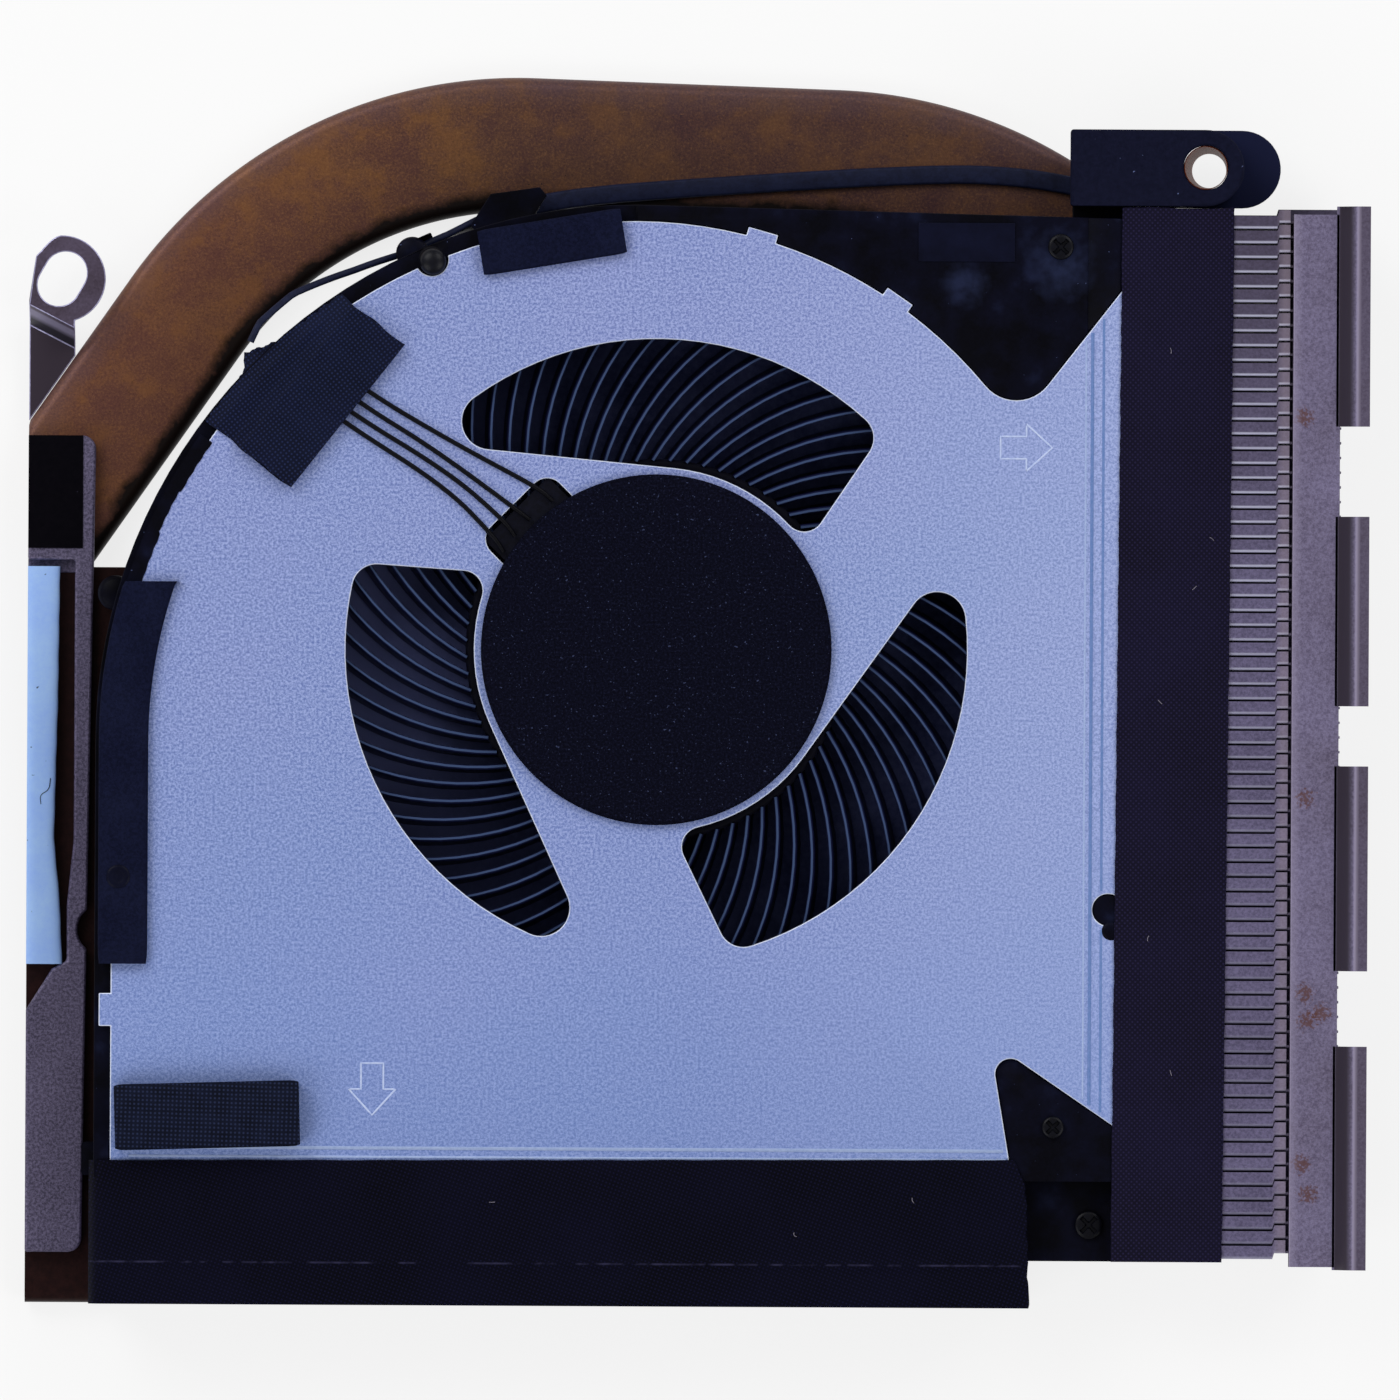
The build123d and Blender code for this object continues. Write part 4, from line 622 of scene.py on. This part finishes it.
# side tape: straight strip whose edges lean a little, with faint ripples where it bridges the fins
sideTape = {"leftTop": 39.42, "leftLow": 38.86, "rightTop": 48.94, "rightLow": 48.3, "top": 37.75,
            "low": -51.8, "height": 10.78, "sheet": 0.14}
v = np.linspace(0, 1, 220)
u = np.linspace(0, 1, 28)
ragged = 0.02 * np.sin(v * 97) + 0.02 * np.sin(v * 411 + 1)
leftEdge = sideTape["leftTop"] + (sideTape["leftLow"] - sideTape["leftTop"]) * v + ragged
rightEdge = sideTape["rightTop"] + (sideTape["rightLow"] - sideTape["rightTop"]) * v - ragged[::-1]
sideX = leftEdge[:, None] + (rightEdge - leftEdge)[:, None] * u
sideY = (sideTape["top"] + (sideTape["low"] - sideTape["top"]) * v)[:, None]
sideY = sideY + 0.1 * np.sin(u * 7) * (v[:, None] < 0.01)
ripple = 0.02 * np.sin(v * 450)[:, None] * np.clip((u - 0.3) * 3, 0, 1)
swell = 0.02 * np.sin(v * 31)[:, None] * np.sin(u * 5)
sidePiece = tape("sideTape", np.stack([sideX, sideY], -1), sideTape["height"] + ripple + swell,
                 sideTape["sheet"], sideCloth, "side_tape")

# lower tape: wide strip with a crease along it, its right edge ragged, a short flap turned down at the left
lowerTape = {"left": -48.0, "low": -55.8, "topLeft": -43.6, "topRight": -43.2, "crease": -52.3,
             "height": 10.82, "sheet": 0.14, "flap": 1.2,
             "ends": [(0.0, 31.9), (0.3, 31.8), (0.6, 31.7), (0.85, 31.55), (1.0, 30.5)]}
a = np.linspace(0, 1, 240)
b = np.linspace(0, 1, 40)
upperEdge = lowerTape["topLeft"] + (lowerTape["topRight"] - lowerTape["topLeft"]) * a + 0.015 * np.sin(a * 83)
tapeY = lowerTape["low"] + (upperEdge - lowerTape["low"])[:, None] * b
endX = np.interp(b, *np.array(lowerTape["ends"]).T) + 0.07 * np.sin(b * 47) + 0.05 * np.sin(b * 21)
tapeX = lowerTape["left"] + (endX - lowerTape["left"]) * a[:, None]
fold = 0.09 * np.exp(-((tapeY - lowerTape["crease"]) / 0.35) ** 2) - 0.08 * (tapeY < lowerTape["crease"])
ridges = 0.03 * np.sin(tapeX * 0.8 + 2) * np.sin(tapeY * 0.9) + 0.015 * np.sin(tapeX * 5.03)
flapShare = np.clip((lowerTape["left"] + lowerTape["flap"] - tapeX) / lowerTape["flap"], 0, 1)
lowerTop = lowerTape["height"] + fold + ridges - lowerTape["flap"] * flapShare ** 2
lowerPiece = tape("lowerTape", np.stack([tapeX, tapeY], -1), lowerTop, lowerTape["sheet"], lowerCloth,
                  "lower_tape")

# wire tape: a turned square, humped over the wires, its outer edge wrapped over the rim and the lead
wireTape = {"middle": (-29.57, 22.24), "turn": 51.7, "length": 15.5, "inner": 4.15, "height": 11.2,
            "outerEdge": [(-7.75, -5.12), (-2.6, -5.1), (-1.3, -6.1), (1.3, -4.6), (7.75, -2.8)],
            "sheet": 0.16, "hump": 0.78, "strand": 0.12, "rim": 44.4, "sag": 1.6}
along = np.linspace(-wireTape["length"] / 2, wireTape["length"] / 2, 90)
outer = np.interp(along, *np.array(wireTape["outerEdge"]).T)
outer = outer + 0.07 * np.sin(along * 5) + 0.05 * np.sin(along * 11)
across = outer[:, None] + (wireTape["inner"] - outer)[:, None] * np.linspace(0, 1, 60)
wavy = along[:, None] + 0.1 * np.sin(across * 1.7)
tapeAxes = turned([(1, 0), (0, -1)], wireTape["turn"])
wirePlan = np.array(wireTape["middle"]) + wavy[..., None] * tapeAxes[0] + across[..., None] * tapeAxes[1]
hump = wireTape["hump"] * np.clip((across + 2.2) / 0.9, 0, 1) * np.clip((4.9 - across) / 0.7, 0, 1)
strands = wireTape["strand"] * np.clip(across + 1.0, 0, 1) * np.cos(along * 1.9)[:, None] ** 2
pastRim = np.linalg.norm(wirePlan - scrollCentre, axis=-1) - wireTape["rim"]
sag = wireTape["sag"] * np.clip(pastRim / 2.2, 0, 1) ** 1.5
wireTop = wireTape["height"] + hump + strands - sag
wirePiece = tape("wireTape", wirePlan, wireTop, wireTape["sheet"], wireCloth, "wire_tape")
print("tapes laid")


def strip(name, plan, size, finish, node, radius=0.3, top=None):
    # a rounded section, its width and height in size, along a strip on the plate
    width, height = size
    path = lifted(plan, plateTop + height / 2)
    loops = alongPath(path, roundRect(width, height, radius, 4))
    # the ends are drawn in over a few rows so that they are rounded too, twice as much in height
    drawn = np.zeros((len(path), 1))
    drawn[[0, -1]], drawn[[1, -2]] = 0.05, 0.01
    middles = path[:, None]
    loops = middles + (loops - middles) * (1 - drawn * [1, 1, 2])[:, None]
    if top is not None:
        loops[..., 1] = np.minimum(loops[..., 1], top)
    loft(name, loops, finish, replaced=(node,), sharp=70)


# foams and gasket: rounded sections carried along their strips; motor pad: a disc with a rounded rim
foam = {"height": 0.9, "leftWidth": 4.2, "topWidth": 3.9, "radius": 43.4, "leftTop": 5.6}
gasket = {"width": 5.6, "height": 2.2, "corner": 0.35}
leftPlan = np.concatenate([scrollCentre + foam["radius"] * rays(np.radians(np.linspace(158.5, 180, 24))),
                           np.linspace((-45.2, -8.8), (-45.2, -26.9), 24)])
strip("rimFoamLeft", leftPlan, (foam["leftWidth"], foam["height"]), rimFoam, "rim_foam_left",
      top=foam["leftTop"])
strip("rimFoamTop", np.linspace((-15.1, 33.6), (-2.95, 35.6), 24), (foam["topWidth"], foam["height"]),
      rimFoam, "rim_foam_top")
strip("fabricGasket", np.linspace((-45.8, -39.95), (-30.1, -39.5), 40), (gasket["width"], gasket["height"]),
      gasketCloth, "fabric_gasket", gasket["corner"])
padRim = [(14.7, 11.0), (14.85, 11.1), (14.9, 11.35), (14.85, 11.6), (14.65, 11.74), (14.3, 11.8),
          (8.0, 11.8), (1.0, 11.8)]
padPiece = loft("motorPad", revolved(padRim, (0, 0), 120), foamBlack, replaced=("motor_pad",),
                sharp=70)
print("foams made")

# motor wires: round sections along smooth routes from the tape, over the plate, down into the window
wires = {"radius": 0.2, "heights": [11.25, 11.25, 11.25, 11.25, 10.82], "runIn": 5.0, "routes": [
    [(-24.4, 21.6), (-16.8, 17.2), (-9.95, 13.62), (-8.85, 12.6)],
    [(-25.3, 20.8), (-18.9, 16.9), (-12.0, 11.88), (-10.8, 11.0)],
    [(-26.1, 20.0), (-17.6, 14.9), (-12.95, 10.87), (-12.05, 9.6)],
    [(-26.7, 19.2), (-17.9, 13.7), (-13.77, 9.45), (-13.0, 8.25)]]}
circle = rays(np.linspace(0, 2 * math.pi, 12, endpoint=False))
wireLoops = []
for route in wires["routes"]:
    points = np.concatenate([[np.array(route[0]) - tapeAxes[1] * wires["runIn"]], route])
    wireLoops.append(alongPath(rounded(lifted(points, wires["heights"])), wires["radius"] * circle))
loft("motorWires", np.stack(wireLoops), wireJacket, replaced=("motor_wires",), sharp=70)

# lead: a flat sleeve, on edge along the housing's rim, turning flat over the upper pipe
lead = {"width": 1.6, "thickness": 0.6, "corner": 0.24, "bend": (134, 107), "startZ": 10.1, "endZ": 3.6,
        "bulge": [(-135, 46.9), (-132, 47.9), (-127.5, 48.0), (-121, 46.8), (-115, 46.0), (-107, 46.25)],
        "dip": (1.6, 0.55, -0.5), "twistFrom": 34, "twistRows": 12, "flatZ": 2.52,
        "flat": [(-8.4, 38.4), (3.5, 39.4), (23.9, 40.7), (31.0, 40.4), (35.6, 39.6)]}
bend = np.linspace(*lead["bend"], 40)
bulge = np.interp(-bend, *np.array(lead["bulge"]).T)
arcPart = lifted(scrollCentre + bulge[:, None] * rays(np.radians(bend)),
                 np.linspace(lead["startZ"], lead["endZ"], 40))
flatPart = rounded(np.concatenate([arcPart[-1:] + lead["dip"], lifted(lead["flat"], lead["flatZ"])]))
leadPath = np.concatenate([arcPart, flatPart])
heading = unit(np.gradient(leadPath, axis=0))
flatness = np.clip((np.arange(len(leadPath)) - lead["twistFrom"]) / lead["twistRows"], 0, 1)[:, None]
leadSide = (1 - flatness) * np.array([0, 0, -1.0]) + flatness * np.cross(heading, [0, 0, 1.0])
leadSection = roundRect(lead["width"], lead["thickness"], lead["corner"], 3)
loft("leadSleeve", alongPath(leadPath, leadSection, side=leadSide), leadJacket,
     replaced=("lead_sleeve",), sharp=70)
print("wiring made")

# thermal pad: rounded section along the pad, its right edge swelling and pinching
padLow, padHigh = boxOf("thermal_pad")
padY = np.linspace(padHigh[1], padLow[1], 80)
padEdge = [(-6.5, -50.78), (4.5, -50.89), (13.0, -51.1), (16.4, -51.17), (21.5, -50.68), (27.0, -50.43)]
padRight = np.interp(-padY, *np.array(padEdge).T) + 0.015 * np.sin(padY * 2.1)
padSection = roundRect(1.0, padHigh[2] - padLow[2], 0.3, 4)
padShare = np.clip(padSection[:, 0] + 0.5, 0, 1)
padLoops = gridOf(padLow[0] + (padRight - padLow[0])[:, None] * padShare, padY[:, None],
                  (padLow[2] + padHigh[2]) / 2 + padSection[:, 1])
bluePiece = loft("thermalPad", padLoops, bluePad, replaced=("thermal_pad",), sharp=70)

# mount sleeve: a short tube whose bore leans, so that its upper left wall shows
sleeve = {"outer": 1.85, "mouth": 1.78, "bore": 1.45, "shift": (0.32, -0.22)}
sleeveLow, sleeveHigh = boxOf("mount_sleeve")
sleeveFoot = (sleeve["outer"], sleeveLow[2])
sleeveRows = revolved([sleeveFoot, (sleeve["outer"], sleeveHigh[2]), (sleeve["mouth"], sleeveHigh[2]),
                       (sleeve["bore"], sleeveLow[2]), sleeveFoot], (sleeveLow[:2] + sleeveHigh[:2]) / 2, 64)
sleeveRows[3, :, :2] += sleeve["shift"]
loft("mountSleeve", sleeveRows, bronze, replaced=("mount_sleeve",), caps=False)

# ledge: the cold plate's pressed lip under the window's upper edge
ledge = {"left": -53.5, "right": -49.4, "y": 7.25, "below": 0.15}
ledgePath = gridOf(np.linspace(ledge["left"], ledge["right"], 12), ledge["y"],
                   boxOf("cold_plate")[0][2] - ledge["below"])
loft("windowLedge", alongPath(ledgePath, roundRect(1.9, 0.5, 0.15, 3)), platedMetal)

# stake mark: the left foam bulges in a ring with a dimple over a stake of the housing
markRing = [(1.05, 11.86), (0.95, 11.97), (0.75, 12.0), (0.5, 11.96), (0.32, 11.9), (0.2, 11.93),
            (0.05, 11.94)]
loft("foamStakeMark", revolved(markRing, (-45.6, -19.5)), blackFilm, sharp=70)
# half-round housing boss beside the left foam's top
bossRows = [(1.5, 3.3), (1.5, 7.4), (1.35, 7.75), (1.05, 7.95), (0.1, 8.0)]
loft("rimBoss", revolved(bossRows, (-46.0, 4.6)), housingBlack, sharp=70)

# lead post, half-round against the wall, and a stake with a domed glossy head beside it
postRows = [(1.4, 3.3), (1.4, 8.6), (1.3, 8.9), (1.05, 9.05), (0.05, 9.1)]
loft("leadPost", revolved(postRows, (-20.9, 33.6)), housingBlack, sharp=70)
stake = {"foot": (1.14, 9.0), "dome": (1.12, 0.7), "tip": (0.02, 11.05)}
stakeDome = stake["tip"] + stake["dome"] * rays(np.linspace(0, math.pi / 2, 8))
stakeRows = np.concatenate([[stake["foot"]], stakeDome])
loft("rimStake", revolved(stakeRows, (-19.14, 32.88), 48), glossBlack, sharp=70)

# rim lip: the housing's upset edge over the plate, an arc strip whose inner edge steps in and out
lip = {"first": 144.8, "last": 163.0, "outer": 45.3, "inner": 44.05, "step": 0.16, "low": 10.7, "high": 11.07}
lipTurn = np.radians(np.linspace(lip["first"], lip["last"], 120))
lipInner = lip["inner"] + lip["step"] * (np.sin(lipTurn * 31) > 0.2) + 0.03 * np.sin(lipTurn * 210)
lipOuter = np.full(120, lip["outer"])
lipReach = np.stack([lipInner, lipInner, lipOuter, lipOuter], 1)[..., None]
lipPlan = scrollCentre + lipReach * rays(lipTurn)[:, None]
loft("rimLip", lifted(lipPlan, [lip["low"], lip["high"], lip["high"], lip["low"]]), housingBlack)

# screws: domed heads with a cross recess pressed into the dome, each a place, a height and a radius
screws = {"places": [(34.2, 34.4, 11.0, 1.1), (33.9, -40.4, 10.6, 0.95), (37.0, -48.7, 8.0, 1.2)],
          "reach": [1.0, 1.0, 0.95, 0.87, 0.76, 0.64, 0.52, 0.4, 0.28, 0.16, 0.06],
          "lift": [0.0, 0.3, 0.38, 0.43, 0.46, 0.475, 0.485, 0.49, 0.495, 0.5, 0.5],
          "arm": 0.14, "cross": 0.7, "depth": 0.28}
screwLoops = []
for x, y, z, radius in screws["places"]:
    head = revolved(np.array([screws["reach"], screws["lift"]]).T * [radius, 1] + [0, z], (x, y), 72)
    local = head[..., :2] - [x, y]
    arm = np.abs(np.abs(local[..., 0]) - np.abs(local[..., 1])) / math.sqrt(2)
    pressed = (arm < screws["arm"]) & (np.linalg.norm(local, axis=-1) < screws["cross"] * radius)
    head[..., 2] -= screws["depth"] * pressed
    screwLoops.append(head)
loft("screwHeads", np.stack(screwLoops), screwBlack, replaced=("corner_screws",), sharp=50)

# plain airflow arrows stamped into the plate: a low bead along each outline
arrow = np.array([(-2.2, 0.95), (0.0, 0.95), (0.0, 2.0), (2.2, 0.0), (0.0, -2.0), (0.0, -0.95),
                  (-2.2, -0.95)])
beads = []
for centre, turn in (((31.36, 17.33), 0), ((-23.94, -37.44), -90)):
    corners = turned(arrow, turn)
    spans = (np.roll(corners, -1, 0) - corners)[:, None] * np.linspace(0, 1, 6, endpoint=False)[:, None]
    outline = (corners[:, None] + spans).reshape(-1, 2) + centre
    beads.append(alongPath(lifted(outline, plateTop), roundRect(0.16, 0.1, 0.045, 2), closed=True))
# the beads carry a painted highlight
loft("stampedArrows", np.stack(beads), beadHighlight, caps=False)
# joggle: painted highlights on the bends and painted shade in bands along the pressed step, each two ends, a
# width, a height and a slope
joggle = {"thick": 0.05, "corner": 0.02,
          "bright": [((36.4, -38.0), (36.4, 26.4), 0.14, 11.0, 0.0),
                     ((-44.6, -42.45), (29.7, -42.45), 0.3, 10.93, 0.5),
                     ((-44.6, -43.2), (29.9, -43.2), 0.2, 10.6, 0.0)],
          "dull": [((36.95, -38.5), (36.95, 27.1), 0.28, 10.78, 0.5),
                   ((37.9, -39.1), (37.9, -23.6), 0.22, 10.6, 0.0),
                   ((37.9, -20.3), (37.9, 28.3), 0.22, 10.6, 0.0)]}
for kind, finish in (("bright", stepHighlight), ("dull", stepShade)):
    bands = []
    for first, last, width, height, slope in joggle[kind]:
        leaning = roundRect(width, joggle["thick"], joggle["corner"], 2) @ np.array([[1, -slope], [0, 1]])
        bands.append(alongPath(np.linspace((*first, height), (*last, height), 60), leaning))
    loft("joggle" + kind.capitalize(), np.stack(bands), finish)

# lint: short pale fibres lying on the tapes, and a dark one on the thermal pad
lint = {"radius": 0.03, "length": 0.55, "rows": 10,
        "places": [(45.9, 5.7, 10.83), (46.9, 9.8, 10.83), (43.5, 25.9, 10.83), (41.9, -24.6, 10.83),
                   (44.0, -36.0, 10.83), (42.6, -4.0, 10.83), (-14.0, -47.0, 10.9),
                   (12.0, -49.4, 10.9), (22.0, -46.4, 10.9)]}
swing = rng.uniform(0, 360, len(lint["places"]))
curl = rng.uniform(-60, 60, len(lint["places"]))
fibreSection = lint["radius"] * circle[::2]
fibres = []
for (x, y, z), way, bow in zip(lint["places"], swing, curl):
    walk = np.radians(way + bow * np.linspace(-1, 1, lint["rows"]))
    steps = np.cumsum(rays(walk), 0) * lint["length"] / lint["rows"]
    fibres.append(alongPath(lifted(steps + [x, y], z), fibreSection))
loft("tapeLint", np.stack(fibres), lintPale, sharp=70)
hairPlan = rounded([(-52.3, -13.4), (-52.4, -12.6), (-51.6, -12.2), (-51.5, -11.2)], 3)
loft("padHair", alongPath(lifted(hairPlan, padHigh[2] + 0.02), fibreSection), wireJacket,
     sharp=70)

# settled dust on the fan's floor with a painted sheen, a thin ring under the blades
dustSheenRing = [(15.0, 3.31), (15.2, 3.35), (24.0, 3.36), (32.6, 3.35), (32.8, 3.31), (15.0, 3.31)]
loft("floorDustAndSheen", revolved(dustSheenRing, (0, 0), 90), dustAndSheen, caps=False)
# small boss below the pillar, and the housing's corner post at the lower left
smallBoss = [(0.85, 6.0), (0.85, 10.5), (0.75, 10.66), (0.5, 10.72), (0.05, 10.74)]
loft("tapeBoss", revolved(smallBoss, (38.75, -23.7)), housingBlack, sharp=70)
postPath = np.linspace((-47.25, -43.5, 2.6), (-47.25, -43.5, 9.0), 8)
postSide = np.tile([1.0, 0, 0], (8, 1))
loft("cornerPost", alongPath(postPath, roundRect(2.8, 2.8, 0.3, 3), side=postSide), housingBlack,
     sharp=50)
print("small pieces made")

# floor, world, lights and camera; the floor glows a little where it is seen, so that it stays pale
floor = {"reach": 3, "height": -0.0002, "white": (0.9, 0.9, 0.9, 1), "glow": 0.8}
floorMesh = bpy.data.meshes.new("floor")
floorMesh.from_pydata([(x * floor["reach"], y * floor["reach"], floor["height"])
                       for x, y in ((-1, -1), (1, -1), (1, 1), (-1, 1))], [], [(0, 1, 2, 3)])
floorPlane = bpy.data.objects.new("floor", floorMesh)
scene.collection.objects.link(floorPlane)
floorPaint = bpy.data.materials.new("white studio paper")
floorPaint.use_nodes = True
tree = floorPaint.node_tree
paper = tree.nodes["Principled BSDF"]
paper.inputs["Base Color"].default_value = floor["white"]
paper.inputs["Roughness"].default_value = 0.9
glow = addNode(tree, "Emission", {"Strength": 1.0})
seen = addNode(tree, "Math", {0: addNode(tree, "LightPath", output="Is Camera Ray"),
                              1: addNode(tree, "LightPath", output="Is Glossy Ray")}, operation="MAXIMUM")
share = addNode(tree, "Math", {0: seen, 1: floor["glow"]}, operation="MULTIPLY")
mixed = addNode(tree, "MixShader", {0: share, 1: paper.outputs[0], 2: glow})
tree.links.new(mixed, tree.nodes["Material Output"].inputs["Surface"])
floorMesh.materials.append(floorPaint)

world = bpy.data.worlds.new("studio")
scene.world = world
world.use_nodes = True
world.node_tree.nodes["Background"].inputs["Color"].default_value = (1, 1, 1, 1)
world.node_tree.nodes["Background"].inputs["Strength"].default_value = 0.3
lampSize = 0.5
for name, place, power in (("key", (-0.42, 0.46, 0.55), 2.6), ("fill", (0.55, -0.3, 0.5), 1.5),
                           ("left", (-0.5, -0.42, 0.5), 1.5), ("right", (0.45, 0.5, 0.55), 1.8)):
    lamp = bpy.data.lights.new(name, "AREA")
    lamp.size, lamp.energy = lampSize, power
    holder = bpy.data.objects.new(name, lamp)
    scene.collection.objects.link(holder)
    holder.location = place
    x, y, z = place
    holder.rotation_euler = (math.atan2(math.hypot(x, y), z), 0, math.atan2(-x, y) + math.pi)

lens = bpy.data.cameras.new("photo")
lens.sensor_width, lens.lens, lens.clip_end = 36, 1210, 20
camera = bpy.data.objects.new("photo", lens)
scene.collection.objects.link(camera)
camera.location = toFrame([3.74, -4.25, 4008.0])
camera.rotation_euler = (0, 0, math.radians(0.3))
scene.camera = camera
scene.view_settings.view_transform = "Standard"
print("studio set")
